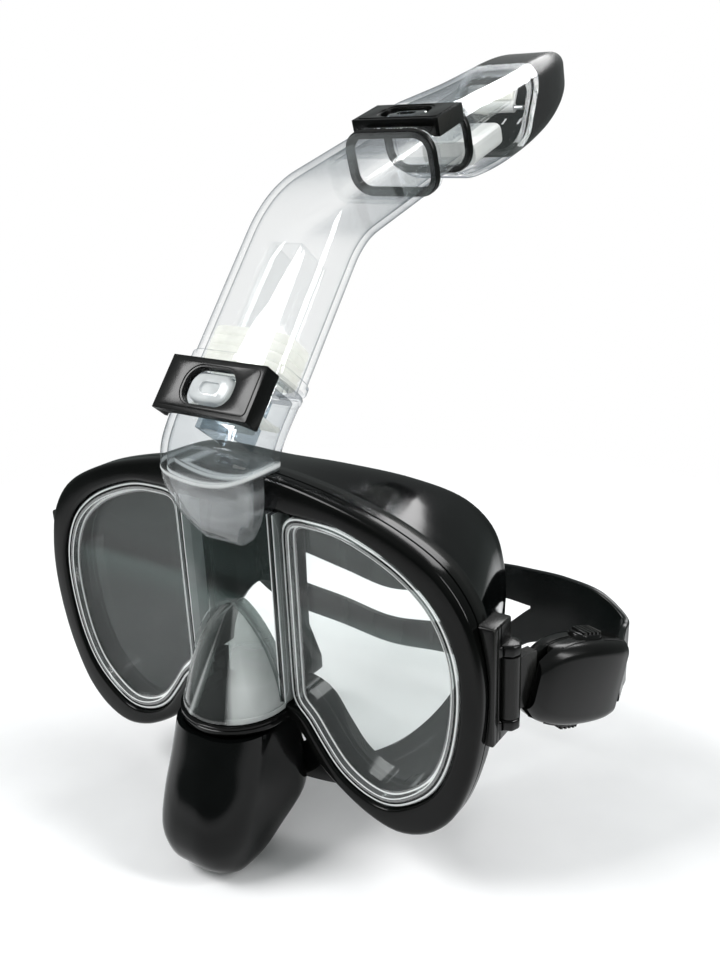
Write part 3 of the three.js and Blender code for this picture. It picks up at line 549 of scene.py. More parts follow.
def nose_wall(levels, outer, inner, back):
    """A half-cone wall between two growths of the nose cone, open to the rear."""
    rings = []
    for z in levels:
        out, within = nose_arc(z, outer), nose_arc(z, inner)
        ring = [(out[0][0], back, z), *out, (out[-1][0], back, z)]
        ring += [(within[-1][0], back, z), *reversed(within), (within[0][0], back, z)]
        rings.append(np.array(ring))
    return loft(rings)


def nose_core(top, bottom, grow, back):
    levels = np.linspace(top, bottom, 26)
    rings = []
    for z in levels:
        arc = nose_arc(z, grow)
        rings.append(np.array([(arc[0][0], back, z), *arc, (arc[-1][0], back, z)]))
    return loft(rings)


def build_nose_window():
    steps = 30
    fall = [(i / steps) ** 1.6 for i in range(steps + 1)]
    top, bottom = NOSE_APEX - 0.5, -40
    wall = nose_wall([top + (bottom - top) * f for f in fall], 0, -NOSE_WALL, 5.2)
    bead = nose_wall([-38.4, -38.6, -39.6, -40], 0.35, -NOSE_WALL, 5.2)
    return joined(wall, bead)


POCKET = [
    (-44.4, -18.7, 18, 17), (-55, -22.5, 18, 17), (-66, -27, 18.5, 17), (-75, -29.5, 18, 16.8),
    (-81, -29, 8, 16), (-86, -26.4, -1, 14.5), (-89.6, -22, -8, 11.5), (-91.3, -18, -13, 7.5),
]


def pocket_rings(inset, steps):
    rings = []
    for z, front, back, half in POCKET[:-1] if inset else POCKET:
        size_y = (back - front) / 2 - inset
        radius = min(half - inset, size_y) * 0.8
        loop = round_rect((half - inset, size_y, radius), 0, (0, (front + back) / 2), 9)
        rings.append(at_height(loop, z))
    if not inset:
        rings.append(at_height(round_rect((4, 1.5, 1.4), 0, (0, -15.6), 9), -91.9))
    return flow(rings, steps)


# ---------------------------------------------------------------- lens
RIM_WIDTH = 3.3
RIB = (16.75, 19.25)
LENS_TOP = 24.2


def window_outline():
    """The recess of the window on the wearer's left, clockwise, with softly rounded corners."""
    inner = offset(lens_outline, -RIM_WIDTH)
    edge = RIB[1] + RIM_WIDTH
    kept = [p for p in inner[:OUTLINE_POINTS // 2 + 2] if p[0] >= edge]
    low, high = kept[-1][1], kept[0][1]
    rise = [(edge, low + (high - low) * t) for t in np.linspace(0.01, 0.99, 60)]
    loop = resampled(np.array(kept + rise), 220)
    for _ in range(7):
        loop = (loop + np.roll(loop, 1, axis=0) + np.roll(loop, -1, axis=0)) / 3
    return loop


# Material of each face row round the window rim: 1 clear rim, 2 painted shade line, 3 painted highlight line.
RIM_CLEAR_AND_PAINTED_LIGHT = (1, 1, 1, 3, 2, 2, 2, 1, 3, 1, 3, 1)


def bordered(shape, around):
    """Gives each step of the window's rim its own material: clear rim, painted shade line in the groove or
    painted highlight line on an edge.
    """
    for face in shape.data.polygons:
        if len(face.vertices) == 4:
            face.material_index = RIM_CLEAR_AND_PAINTED_LIGHT[face.index // around]
    return shape


def build_lens():
    recess = window_outline()
    profile = [
        (3.25, 7.5), (3.25, 3.0), (3.1, 2.6), (2.8, 2.5), (2.25, 2.5), (2.1, 2.8), (1.75, 2.8), (1.6, 2.5),
        (0.75, 2.5), (0.45, 2.65), (0.1, 4.1), (-0.25, 4.4), (-0.8, 4.5),
    ]
    left, right = [
        moved(bordered(loft([at_depth(offset(recess, grow), y) for grow, y in profile]), len(recess)),
              side_matrix(side))
        for side in (1, -1)
    ]
    levels = np.linspace(-37, NOSE_APEX + 0.3, 40)
    arch = [(nose_half_width(z) + GAP, z) for z in levels]
    edge = [(RIB[1] - 0.05, -37), *arch, *[(-x, z) for x, z in reversed(arch)], (-RIB[1] + 0.05, -37)]
    pane = prism([*edge, (-RIB[1] + 0.05, LENS_TOP), (RIB[1] - 0.05, LENS_TOP)], 0, PANE_THICKNESS, ACROSS)
    for side in (-1, 1):
        low, high = sorted((side * RIB[0], side * (RIB[1] - 0.05)))
        pane = union(pane, box(low, high, 2, 7.5, -37, LENS_TOP))
    pane = union(pane, box(-18, 18, 2, 7.5, LENS_TOP - 2.4, LENS_TOP))
    lip_out = [(nose_half_width(z) + 1.7, -0.45, z + 0.9) for z in levels]
    lip_in = [(nose_half_width(z) + GAP, -0.45, z) for z in levels]
    lip = lip_out + [(-x, y, z) for x, y, z in reversed(lip_out)]
    lip_back = lip_in + [(-x, y, z) for x, y, z in reversed(lip_in)]
    rings = [
        [(a[0], 0.4, a[2]), a, b, (b[0], 0.4, b[2])] for a, b in zip(lip, lip_back)
    ]
    arch_lip = loft([np.array(ring) for ring in rings])
    pane = rimmed(softened(union(pane, arch_lip), 0.22, 2), [Vector((0, 1, 0))])
    # Thin strips along each rib: painted highlight lines with a painted shade line between them.
    for side in (-1, 1):
        for x, width, index in ((16.7, 0.35, 3), (17.2, 0.5, 2), (18.6, 0.3, 3)):
            low, high = sorted((side * x, side * (x + width)))
            strip = softened(box(low, high, -0.06, 7.5, -37, LENS_TOP), 0.05, 1)
            for face in strip.data.polygons:
                face.material_index = index
            pane = joined(pane, strip)
    return joined(pane, left, right)


# ---------------------------------------------------------------- frames and skirt
BEZEL_BACK, RETAINER_BACK = 9, 13.5
SKIRT_WALL, SKIRT_LIP = 1.8, 9
PORT, PORT_AT = (10, 2.1, 1.5), (0, 28.3)


def port_hole():
    return prism(round_rect(PORT, GAP, PORT_AT), -1, 17.2, ACROSS)


def ring_of(profile):
    """A ring whose section is a list of (outline, offset, depth)."""
    return loft([at_depth(offset(outline, grow), y) for outline, grow, y in profile], closed=True)


def build_front_frame():
    outer, inner = frame_outline, lens_outline
    ring = ring_of([
        (outer, 0, BEZEL_BACK), (outer, 0, 6.6), (outer, -0.35, 6.45), (outer, -0.35, 6.05), (outer, 0, 5.9),
        (outer, 0, 3.1), (outer, -0.2, 2.5), (outer, -0.6, 2.0), (outer, -1.2, 1.65), (outer, -1.9, 1.5),
        (inner, 1.6, 1.5), (inner, 0.8, 1.6), (inner, 0.45, 1.9), (inner, 0.3, 2.4), (inner, 0.3, 5.7),
        (inner, 1.8, 5.7), (inner, 1.8, BEZEL_BACK),
    ])
    ring = less(ring, box(-17.4, 17.4, -10, 20, -60, -30), port_hole())
    levels = [-40.3, -40.6, -41.2, -41.45, -41.7, -42.6, -43.2, -43.5]
    grows = [0.9, 1.3, 1.3, 1.0, 1.3, 1.3, 1.15, 0.8]
    rings = []
    for z, grow in zip(levels, grows):
        out, within = nose_arc(z, grow), nose_arc(z, -1.6)
        ring_points = [(out[0][0], BEZEL_BACK, z), *out, (out[-1][0], BEZEL_BACK, z)]
        ring_points += [(within[-1][0], BEZEL_BACK, z), *reversed(within), (within[0][0], BEZEL_BACK, z)]
        rings.append(np.array(ring_points))
    return less(union(ring, loft(rings)), nose_core(-20, -60, -1.6, 13))


def build_retaining_frame():
    outer, inner = frame_outline, lens_outline
    ring = ring_of([
        (outer, -1, 9.3), (outer, -1, 12.7), (outer, -1.25, 13.3), (outer, -1.8, RETAINER_BACK),
        (inner, 0.2, RETAINER_BACK), (inner, -0.5, 13.3), (inner, -0.8, 12.8), (inner, -0.8, 9.3),
    ])
    return less(ring, box(-18, 18, -10, 20, -60, -30), port_hole())


def face_depth(x, z):
    rise = min(max((z + 75) / 30, 0), 1)
    side = min(abs(x) / 66, 1)
    return 20 + 14 * rise + 24 * side * side


def build_skirt():
    shoulder = offset(frame_outline, -3.2)

    def rear(inset, forward):
        moved_in = offset(face_outline, -inset)
        depth = [face_depth(x, z) - forward for x, z in face_outline]
        return np.array([(p[0], d, p[1]) for p, d in zip(moved_in, depth)])

    rings = [
        at_depth(offset(lens_outline, 1.2), 7.8), at_depth(offset(lens_outline, 1.2), 9),
        at_depth(offset(lens_outline, -1.5), 9), at_depth(offset(lens_outline, -1.5), 13.8),
        at_depth(shoulder, 13.8), rear(0, 6), rear(1.2, 1.2), rear(3.5, 0),
        rear(SKIRT_LIP, 2.5), rear(SKIRT_LIP, 4.2),
        rear(4, 2.4), rear(2.4, 6.5), at_depth(offset(shoulder, -SKIRT_WALL), 15.6),
        at_depth(offset(lens_outline, -3.3), 15.6), at_depth(offset(lens_outline, -3.3), 7.8),
    ]
    wall = loft(flow(rings, 4, hard=(1, 2, 3, 4, 8, 9, 12, 13)), closed=True)
    body = union(wall, loft(pocket_rings(0, 4)))
    inner = pocket_rings(SKIRT_WALL, 4)
    mouth = np.array([(p[0], p[1], -42) for p in inner[0]])
    doorway = prism(round_rect((15.2, 9.5, 3), 0, (0, -51.5)), 8, 34, ACROSS)
    return less(
        body, nose_core(NOSE_APEX, -44.3, 0.9, 22), nose_core(-36, -44.3, 2.2, RETAINER_BACK),
        loft([mouth, *inner]), doorway, port_hole(),
    )


def build_air_guide():
    half = [(13, 20.4), (15, 12), (14.6, -20), (18.8, -30), (18.8, -34.4), (16.4, -34.4), (11, -22), (0, -18)]
    outline = half + [(-x, z) for x, z in reversed(half[:-1])]
    room = [(11.5, 18.8), (13.3, 12), (13, -16.5), (-13, -16.5), (-13.3, 12), (-11.5, 18.8)]
    guide = prism(outline, 8.2, 19, ACROSS)
    guide = less(guide, prism(room, 7, 17.4, ACROSS), box(-8, 8, 7, 17.4, -30, -10),
                 nose_core(NOSE_APEX, -44, 1.5, 24))
    return softened(guide, 0.5, 2)


# ---------------------------------------------------------------- connector and snorkel
CONNECTOR = [
    ((6.85, 64.05), (22.95, 50.55), 17), ((-3.9, 51.1), (12.1, 37.6), 17), ((-8.4, 43.6), (11, 31), 17),
    ((-9.9, 36.4), (10, 26), 17), ((-9.3, 31.2), (9, 22), 16.6), ((-7, 23), (8, 16), 14.5),
    ((-4.4, 17.5), (6, 11), 11), ((-2.2, 13.8), (4, 9), 7),
]


def connector_rings(inset):
    rings = []
    for k, (front, back, half) in enumerate(CONNECTOR):
        a, b = Vector((0, *front)), Vector((0, *back))
        depth = b - a
        along = depth.normalized()
        up = Vector((0, -along.z, along.y)) * (3 * inset if k == 0 else 0)
        radius = max(min(7, half * 0.5) - inset, 1)
        middle = (a + b) / 2 + up
        loop = round_rect((half - inset, depth.length / 2 - inset, radius))
        rings.append(np.array([Vector((x, 0, 0)) + middle + along * y for x, y in loop]))
    return flow(rings[:-1] if inset else rings, 5, hard=(3,))


def build_connector():
    shell = less(loft(connector_rings(0)), box(-40, 40, -0.3, 60, -60, 35.3))
    room = less(loft(connector_rings(2)), box(-40, 40, -2.3, 60, -60, 37.3))
    shell = less(shell, room)
    shoulder = [at_height(round_rect(TUBE, grow), s) for grow, s in
                [(0, -59.5), (0.35, -59), (0.35, -57.6), (0, -57.1)]]
    spigot = [at_height(round_rect(LOWER_SPIGOT, grow), s) for grow, s in
              [(0, -58), (0, -43.6), (-0.3, -43.2)]]
    shell = union(shell, moved(loft(shoulder), LOWER), moved(loft(spigot), LOWER))
    shell = union(shell, prism(round_rect(PORT, 0, PORT_AT), -1.3, 15.2, ACROSS))
    window = moved(prism(round_rect(BUTTON, GAP, (0, LOWER_CLIP_AT)), -14, -7, ACROSS), LOWER)
    return less(
        shell,
        prism(round_rect(LOWER_SPIGOT, -1.3), -61, -42, LOWER),
        prism(round_rect(PORT, -1, PORT_AT), -3.3, 16, ACROSS),
        window,
    )


def divider(half, front, rear, low, high):
    walls = [box(s * half - 0.5, s * half + 0.5, front, rear, low, high, LOWER) for s in (-1, 1)]
    sheet = box(-half, half, front, front + 1, low, high, LOWER)
    return softened(union(sheet, *walls), 0.18, 2)


def flap(x0, x1, front, s):
    sheet = prism(round_rect(((x1 - x0) / 2, (6.2 - front) / 2, 1.6), 0, ((x0 + x1) / 2, (6.2 + front) / 2)),
                  s - 0.4, s + 0.4)
    turn = Matrix.Translation(((x0 + x1) / 2, 6.2, s)) @ Matrix.Rotation(math.pi / 2, 4, "Y")
    half = (x1 - x0) / 2
    return moved(union(sheet, rod(0.9, -half, half, turn, 24)), LOWER)


def build_seal():
    foot, top, ribs = -55.8, -43.5, 4
    pitch = (top - foot) / ribs
    rings = []
    for i in range(ribs * 8 + 1):
        swell = math.sin(math.pi * (i % 8) / 8) ** 0.5 if i % 8 else 0
        rings.append(at_height(round_rect(LOWER_SPIGOT, 1.4 + 0.6 * swell), foot + i * pitch / 8))
    rings += [at_height(round_rect(LOWER_SPIGOT, GAP), s) for s in (top, foot)]
    return moved(loft(rings, closed=True), LOWER)


def leg_direction(tilt):
    lean = math.radians(tilt)
    return Vector((0, math.sin(lean), math.cos(lean)))


def tube_centres():
    lower, upper = leg_direction(LOWER_TILT), leg_direction(UPPER_TILT)
    start, end = BEND - lower * 12, BEND + upper * 12
    centres = [(BEND + lower * s, lower) for s in (-56, -55.6, -53.6, -53, -30)]
    for i in range(17):
        t = i / 16
        at = start * (1 - t) ** 2 + BEND * 2 * t * (1 - t) + end * t * t
        centres.append((at, ((BEND - start) * (1 - t) + (end - BEND) * t).normalized()))
    return centres + [(BEND + upper * s, upper) for s in (30, 42.6, 43.1, 44.8, 45.2)]


def build_tube():
    centres = tube_centres()
    lips = {0: 0.3, 1: 0.7, 2: 0.7, len(centres) - 3: 0.0, len(centres) - 2: 0.25}

    def rings(size, shape_lips):
        made = []
        for k, (at, along) in enumerate(centres):
            rear = Vector((0, along.z, -along.y))
            loop = round_rect(size, shape_lips.get(k, 0.0), corner=10)
            made.append(np.array([at + rear * y + Vector((x, 0, 0)) for x, y in loop]))
        return made

    return loft(rings(TUBE, lips) + rings(TUBE_BORE, {})[::-1], closed=True)


def build_clip(body, half, face, depth, at, arch):
    """A press-release clip: a plate with returns down both sides and an oval window."""
    low, high = at - 8.5, at + 8.5
    plate = box(-half, half, -face, -face + depth, low, high)
    plate = less(plate, prism(round_rect(body, GAP), at - 17, at + 17))
    plate = less(plate, prism(round_rect(CLIP_WINDOW, GAP, (0, at)), -face - 1, 0, ACROSS))
    rail = prism(round_rect((half - 1.2, 7.1, 1.6), 0, (0, at)), -face - 0.3, -face + 0.4, ACROSS)
    rail = less(rail, prism(round_rect(CLIP_WINDOW, 1.0 + arch, (0, at)), -face - 1, -face + 2, ACROSS))
    return softened(union(plate, rail), 0.35, 3)


def build_button(outer, inner, at):
    loops = [(0.0, -inner), (0.0, -outer + 0.9), (-0.35, -outer + 0.3), (-1.0, -outer)]
    rings = [at_depth(round_rect(BUTTON, grow, (0, at)), y) for grow, y in loops]
    dish = prism(round_rect((3.6, 1.7, 1.6), 0, (0, at)), -outer - 1, -outer + 0.8, ACROSS)
    return less(loft(rings), dish)


CHAMBER = [
    (72.3, 12.5, -12, 17), (76, 12.3, -15.5, 18), (88, 11.5, -18.3, 18), (105, 10.2, -19.8, 18),
    (125, 9.2, -19.6, 18), (140, 8.6, -17.8, 17.6), (152, 7.6, -14.5, 16.2), (161, 6, -11, 13.6),
    (168, 3.4, -7.2, 9.6), (171.5, 0.8, -3.8, 5),
]
CAP_WALL, CHAMBER_WALL = 1.6, 1.5
DUCT, DUCT_AT = (11, 4, 2.5), (0, -1.6)
CAP_SEAM_AT, CAP_SEAM_TILT, CHAMBER_END = 126, -38, 150


def chamber(inset):
    rings = []
    for k, (s, top, bottom, half) in enumerate(CHAMBER):
        if k and s > CHAMBER[-1][0] - inset * 1.5:
            continue
        deep = (top - bottom) / 2 - inset
        radius = min(half - inset, deep) * 0.62
        loop = round_rect((half - inset, deep, radius), 0, (0, -(top + bottom) / 2), 10)
        rings.append(at_height(loop, s + (inset if k == 0 else 0)))
    if not inset:
        rings.append(at_height(round_rect((2.2, 1.0, 0.9), 0, (0, 1.5), 10), 172.1))
    return loft(flow(rings, 5))


def beyond_seam(shift):
    tilt = Matrix.Rotation(math.radians(CAP_SEAM_TILT), 4, "X")
    return box(-40, 40, -60, 60, 0, 80, Matrix.Translation((0, 0, CAP_SEAM_AT + shift)) @ tilt)


def build_float_chamber():
    past = [box(-40, 40, -40, 40, CHAMBER_END, 200) for _ in range(2)]
    tail = less(chamber(CAP_WALL + GAP), past[0])
    hollow = union(chamber(CAP_WALL + GAP + CHAMBER_WALL), less(chamber(CHAMBER_WALL), beyond_seam(-3)))
    shell = less(union(less(chamber(0), beyond_seam(0)), tail), hollow, past[1])
    duct = prism(round_rect(DUCT, 0, DUCT_AT), 73, 117.2)
    neck = loft([at_height(round_rect(NECK, g), s) for g, s in
                 [(0, 49), (0, 68.4), (1.6, 68.8), (1.6, 69.3), (0, 69.5), (0, 73.5)]])
    flange = loft([at_height(round_rect((17.5, 11, 7.5), g), s) for g, s in
                   [(-0.4, 48.1), (0, 48.4), (0, 49.6), (-0.5, 50)]])
    spigot = prism(round_rect(UPPER_SPIGOT), 31, 49)
    vents = [box(x - 1, x + 1, 8, 30, 84, 96) for x in (-9, -3, 3, 9)]
    return less(
        union(shell, duct, neck, flange, spigot),
        prism(round_rect(DUCT, -1.2, DUCT_AT), 72, 118.5),
        prism(round_rect(UPPER_SPIGOT, -1.5), 30, 72.4),
        prism(round_rect(BUTTON, GAP, (0, UPPER_CLIP_AT)), -14, -3, ACROSS),
        *vents,
    )


def build_top_cap():
    shell = common(less(chamber(0), chamber(CAP_WALL)), beyond_seam(GAP))
    return less(shell, *[box(x - 1.2, x + 1.2, 5, 30, 140, 147) for x in (-7, 0, 7)])


def build_gasket(outer, inner, low, high):
    rings = [(outer, -0.3, low), (outer, 0, low + 0.4), (outer, 0, high - 0.4), (outer, -0.3, high),
             (inner, 0, high), (inner, 0, low)]
    return moved(loft([at_height(round_rect(size, g), s) for size, g, s in rings], closed=True), UPPER)


# ---------------------------------------------------------------- buckles
SWING, DROOP = math.radians(20), math.radians(17)
BUCKLE = Matrix.Translation(PIN) @ Matrix.Rotation(-SWING, 4, "Z") @ Matrix.Rotation(-DROOP, 4, "X")
BUCKLE_STATIONS = [
    (7, 4.3, 7.5), (12, 5.6, 10.8), (20, 6.6, 12.5), (30, 7, 12.8), (38, 6.6, 12.4), (42, 5.8, 11.9),
]
PINCH = (3.2, 5.4, 3.1)
PINCH_AT = (0, 27)
BUCKLE_WALL = 1.6
TONGUE_EYE, PIN_BORE = 3.1, 1.8


def buckle_outer(inset):
    rings = []
    for k, (y, x, z) in enumerate(BUCKLE_STATIONS):
        at = y + (2 * inset if k == 0 else 0) + (3 * inset if k == len(BUCKLE_STATIONS) - 1 else 0)
        rings.append(at_depth(round_rect((x - inset, z - inset, 4 - inset)), at))
    return loft(flow(rings, 4))


def buckle_shell(cuts):
    shell = less(buckle_outer(0), buckle_outer(BUCKLE_WALL), prism(round_rect(PINCH, GAP, PINCH_AT), -20, 20))
    return less(shell, *cuts)


def build_buckle_body():
    shell = buckle_shell([box(0.15, 20, -10, 60, -30, 30)])
    rail = box(-0.9, -0.4, 12, 41, -13.1, 13.1)
    rail = common(rail, buckle_outer(-0.25))
    rail = less(rail, buckle_outer(0.8), prism(round_rect(PINCH, 1.2, PINCH_AT), -20, 20))
    shell = union(shell, rail)
    lift = Matrix.Rotation(DROOP, 4, "X")
    tongue = union(rod(TONGUE_EYE, -9.4, 9.4, lift), box(-1.8, 1.8, 0.4, 8.4, -7.9, 7.9, lift))
    tongue = less(
        tongue, rod(PIN_BORE, -30, 30, lift), buckle_outer(BUCKLE_WALL), box(1.9, 20, 5, 60, -30, 30),
    )
    return union(shell, tongue)


def build_buckle_cover():
    cover = buckle_shell([box(-20, 0.45, -10, 60, -30, 30), box(-20, 2.3, -10, 11.6, -30, 30)])
    ridge = common(box(3.4, 3.9, 14, 40.5, -14, 14), buckle_outer(-0.3))
    return union(cover, less(ridge, buckle_outer(0.8), prism(round_rect(PINCH, 1.2, PINCH_AT), -20, 20)))


def build_pinch(up):
    levels = [(0, 10.4), (0, 13.5), (-0.3, 13.9), (-0.9, 14.1)]
    pad = loft([at_height(round_rect(PINCH, g, PINCH_AT), s) for g, s in levels])
    ribs = [box(-2.8, 2.8, 23.4 + 1.7 * i, 24.3 + 1.7 * i, 13.4, 14.75) for i in range(5)]
    keep = prism(round_rect(PINCH, -0.4, PINCH_AT), 13, 15)
    ridges = common(joined(*ribs), keep)
    button = union(pad, softened(ridges, 0.15, 1))
    return button if up else moved(button, Matrix.Diagonal((1, 1, -1, 1)))


def build_lug():
    """A plate against the frame's side, with two grooves in its face and two ears for the pin."""
    plate = softened(box(78, LUG_FACE, 5.5, 15.6, -32.5, 3.5), 0.7, 3)
    x, y = PIN.x, PIN.y
    ear = [
        (LUG_FACE - 1.2, 6), (x, y - 3.3), (x + 2.3, y - 2.4), (x + 3.3, y), (x + 2.3, y + 2.4), (x, y + 3.3),
        (LUG_FACE - 1.2, 15.6),
    ]
    ears = [softened(prism(ear, PIN.z + low, PIN.z + low + 3.4), 0.6, 3) for low in (9.7, -13.1)]
    lug = union(plate, *ears)
    grooves = [box(LUG_FACE - 0.4, LUG_FACE + 6, at, at + 0.5, -50, 20) for at in (7.4, 9.2)]
    hold = Matrix.Translation((x, y, 0))
    return less(
        lug, *grooves, prism(offset(frame_outline, GAP), -6, 20, ACROSS), rod(PIN_BORE, -29.5, -6.4, hold),
        rod(3.7, PIN.z - 9.7, PIN.z + 9.7, hold),
    )


def side_matrix(side):
    return Matrix.Diagonal((side, 1, 1, 1))


# ---------------------------------------------------------------- strap
# The first station tucks the strap into the buckle's mouth.
STRAP_HALF = [
    (103.8, 51.2, -18.2, -28, -27.6, -37.2),
    (102.9, 56.6, -15.1, -25.9, -25.1, -35.9), (102, 61.2, -14.5, -25.3, -24.3, -35.1),
    (92.8, 65.5, -10.3, -21.3, -20.8, -31.8), (78.4, 71, -10.6, -22.8, -22.4, -34.6),
    (65.1, 75, -12.5, -25.7, -26.5, -39.7), (49, 79.3, -15.5, -27.5, -41, -53),
    (20, 85.5, -24.2, -35.8, -49.2, -60.8), (0, 86.5, -28.5, -39.5, -52.5, -63.5),
]
STRAP_THICKNESS = 2
SLOT_STATION = 5


def strap_sheet(top, bottom, first, thickness):
    """A band along the strap's path between two of its edges, right end to left end."""
    half = [(row[0], row[1], row[top], row[bottom]) for row in STRAP_HALF[first:]]
    line = through(half + [(-row[0], *row[1:]) for row in reversed(half[:-1])], 12)
    rings = []
    for k, (x, y, high, low) in enumerate(line):
        before, after = line[max(k - 1, 0)], line[min(k + 1, len(line) - 1)]
        run = Vector((after[0] - before[0], after[1] - before[1], 0)).normalized()
        side = Vector((-run.y, run.x, 0))
        loop = round_rect((thickness / 2, (high - low) / 2, min(0.6, (high - low) / 3)), corner=3)
        middle = Vector((x, y, (high + low) / 2))
        rings.append(np.array([middle + side * a + Vector((0, 0, b)) for a, b in loop]))
    return loft(rings)


def build_strap(side):
    """Half of the strap, from the middle of the head to one buckle."""
    whole = less(strap_sheet(2, 5, 0, STRAP_THICKNESS), strap_sheet(3, 4, SLOT_STATION, 6 * STRAP_THICKNESS))
    low, high = sorted((0, side * 150))
    return common(whole, box(low, high, 0, 120, -90, 20))


# ---------------------------------------------------------------- the pieces
def build_mask():
    shown(build_lens(), "lens_clear", "mask", [lens_clear, lens_rim, rim_painted_shade, rim_painted_highlight],
          ["lens"], 30)
    shown(build_nose_window(), "nose_window_clear", "mask", [nose_clear], ["nose_window"])
    shown(build_front_frame(), "front_bezel", "mask", [black_frame], ["front_frame"])
    shown(build_retaining_frame(), "rear_bezel", "mask", [black_satin], ["retaining_frame"])
    shown(build_skirt(), "face_skirt", "mask", [black_silicone], ["skirt"])
    shown(build_air_guide(), "air_box", "mask", [black_silicone], ["air_guide"])
    seat = less(prism(round_rect((13.5, 3.9, 2), 0, PORT_AT), 0.1, 1.2, ACROSS), port_hole())
    shown(seat, "port_ring", "mask", [black_silicone], ["port_gasket"])
    for side, word in ((1, "left"), (-1, "right")):
        flex = ("buckle_" + word, (side * 0.045, 0.077, -0.03), (side * 0.1, 0.056, -0.026))
        shown(build_strap(side), "head_strap_" + word, "mask", [strap_silicone],
              ["strap"], 50, flex)


def build_snorkel():
    leg, top_leg = LOWER.to_3x3(), UPPER.to_3x3()
    housing = rimmed(build_connector(), [Vector((0, 1, 0)), leg.col[0], leg.col[1]], 1, 0.3)
    shown(housing, "connector_shell", "mask", [connector_clear, tube_rim],
          ["connector_housing"])
    shown(divider(5.4, -6.2, 7.4, -75.5, -59.9), "channel_walls", "mask", [tube_rim],
          ["channel_divider"])
    shown(flap(-4.3, 4.3, -4.4, -70), "inhale_valve", "inhale_flap", [milky_silicone],
          ["inhale_flap"])
    for word, x0, x1 in (("left", 6.6, 12.6), ("right", -12.6, -6.6)):
        name = "exhale_flap_" + word
        shown(flap(x0, x1, -5.2, -68), "exhale_valve_" + word, name, [milky_silicone],
              [name])
    shown(build_seal(), "ribbed_sleeve", "mask", [milky_silicone], ["ribbed_seal"])
    clip = moved(build_clip(TUBE, 17.4, 13.4, 6, LOWER_CLIP_AT, 0.0), LOWER)
    shown(clip, "clip_lower", "mask", [black_satin], ["lower_clip"])
    button = moved(build_button(13, 9.4, LOWER_CLIP_AT), LOWER)
    shown(button, "button_lower", "lower_button", [button_clear], ["lower_button"])

    tube = rimmed(build_tube(), [leg.col[0], leg.col[1], top_leg.col[1]], 1, 0.5)
    shown(tube, "tube_body", "snorkel_tube", [tube_clear, tube_rim], ["mid_tube"], 30)
    shown(divider(5.5, -6.5, 7.6, -42.4, -14), "tube_walls", "snorkel_tube", [tube_clear],
          ["tube_divider"])
    ring = build_gasket((17.7, 11.2, 7.7), TUBE_BORE, 45.5, 47.8)
    shown(ring, "tube_ring", "snorkel_tube", [black_satin], ["tube_gasket"])

    upper_part = moved(build_float_chamber(), UPPER)
    shown(upper_part, "chamber_shell", "top_section", [tube_clear, tube_rim],
          ["float_chamber"])
    ring = build_gasket((17.6, 11.6, 8.6), (15.3, 9.3, 6.3), 69.6, 71.9)
    shown(ring, "neck_ring", "top_section", [black_satin], ["neck_gasket"])
    clip = moved(build_clip(NECK, 17, 12.9, 6, UPPER_CLIP_AT, 0.4), UPPER)
    shown(clip, "clip_upper", "top_section", [black_satin], ["upper_clip"])
    button = moved(build_button(12.4, 8, UPPER_CLIP_AT), UPPER)
    shown(button, "button_upper", "upper_button", [tube_rim], ["upper_button"])
    cap = moved(build_top_cap(), UPPER)
    shown(cap, "cap_smoke", "top_section", [smoke], ["top_cap"])


def build_fitting(side, word):
    mirror = side_matrix(side)
    body = "buckle_" + word
    shown(moved(build_lug(), mirror), "lug_" + word, "mask", [black_satin],
          ["strap_lug_" + word])
    pieces = [
        (build_buckle_body(), "buckle_shell_" + word, body, "black_plastic", black_satin, "buckle_body_"),
        (build_buckle_cover(), "buckle_lid_" + word, body, "black_plastic", black_satin, "buckle_cover_"),
        (build_pinch(True), "pinch_top_" + word, "release_top_" + word, "black_plastic", black_satin,
         "release_top_"),
        (build_pinch(False), "pinch_bottom_" + word, "release_bottom_" + word, "black_plastic", black_satin,
         "release_bottom_"),
        (softened(box(1.8, 3.6, 33.2, 44.6, -9.3, 9.3), 0.5, 3), "strap_tip_" + word, body, "strap_silicone",
         strap_silicone, "strap_end_"),
    ]
    for shape, name, rides, slot, material, node in pieces:
        shown(moved(moved(shape, BUCKLE), mirror), name, rides, [material], [node + word])
    roller = softened(rod(2.4, -8.5, 8.5, Matrix.Translation((-1.4, 33.5, 0))), 0.4, 2)
    shown(moved(moved(roller, BUCKLE), mirror), "roller_bar_" + word, "roller_" + word,
          [black_satin], ["strap_roller_" + word])


def keep_cad_nodes():
    """Hidden small parts keep their CAD shape and get a finished material."""
    kept = {
        "float": white_plastic, "valve_flap": white_plastic, "valve_pad": milky_silicone, "flap_pin": steel,
        "hinge_pin_left": steel, "hinge_pin_right": steel,
    }
    for name, material in kept.items():
        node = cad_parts[name]
        node.data.materials.clear()
        node.data.materials.append(material)
        round_off = node.modifiers.new("soften", "BEVEL")
        round_off.width = 0.00025
        round_off.segments = 2
        round_off.limit_method = "ANGLE"


build_mask()
build_snorkel()
build_fitting(1, "left")
build_fitting(-1, "right")
keep_cad_nodes()


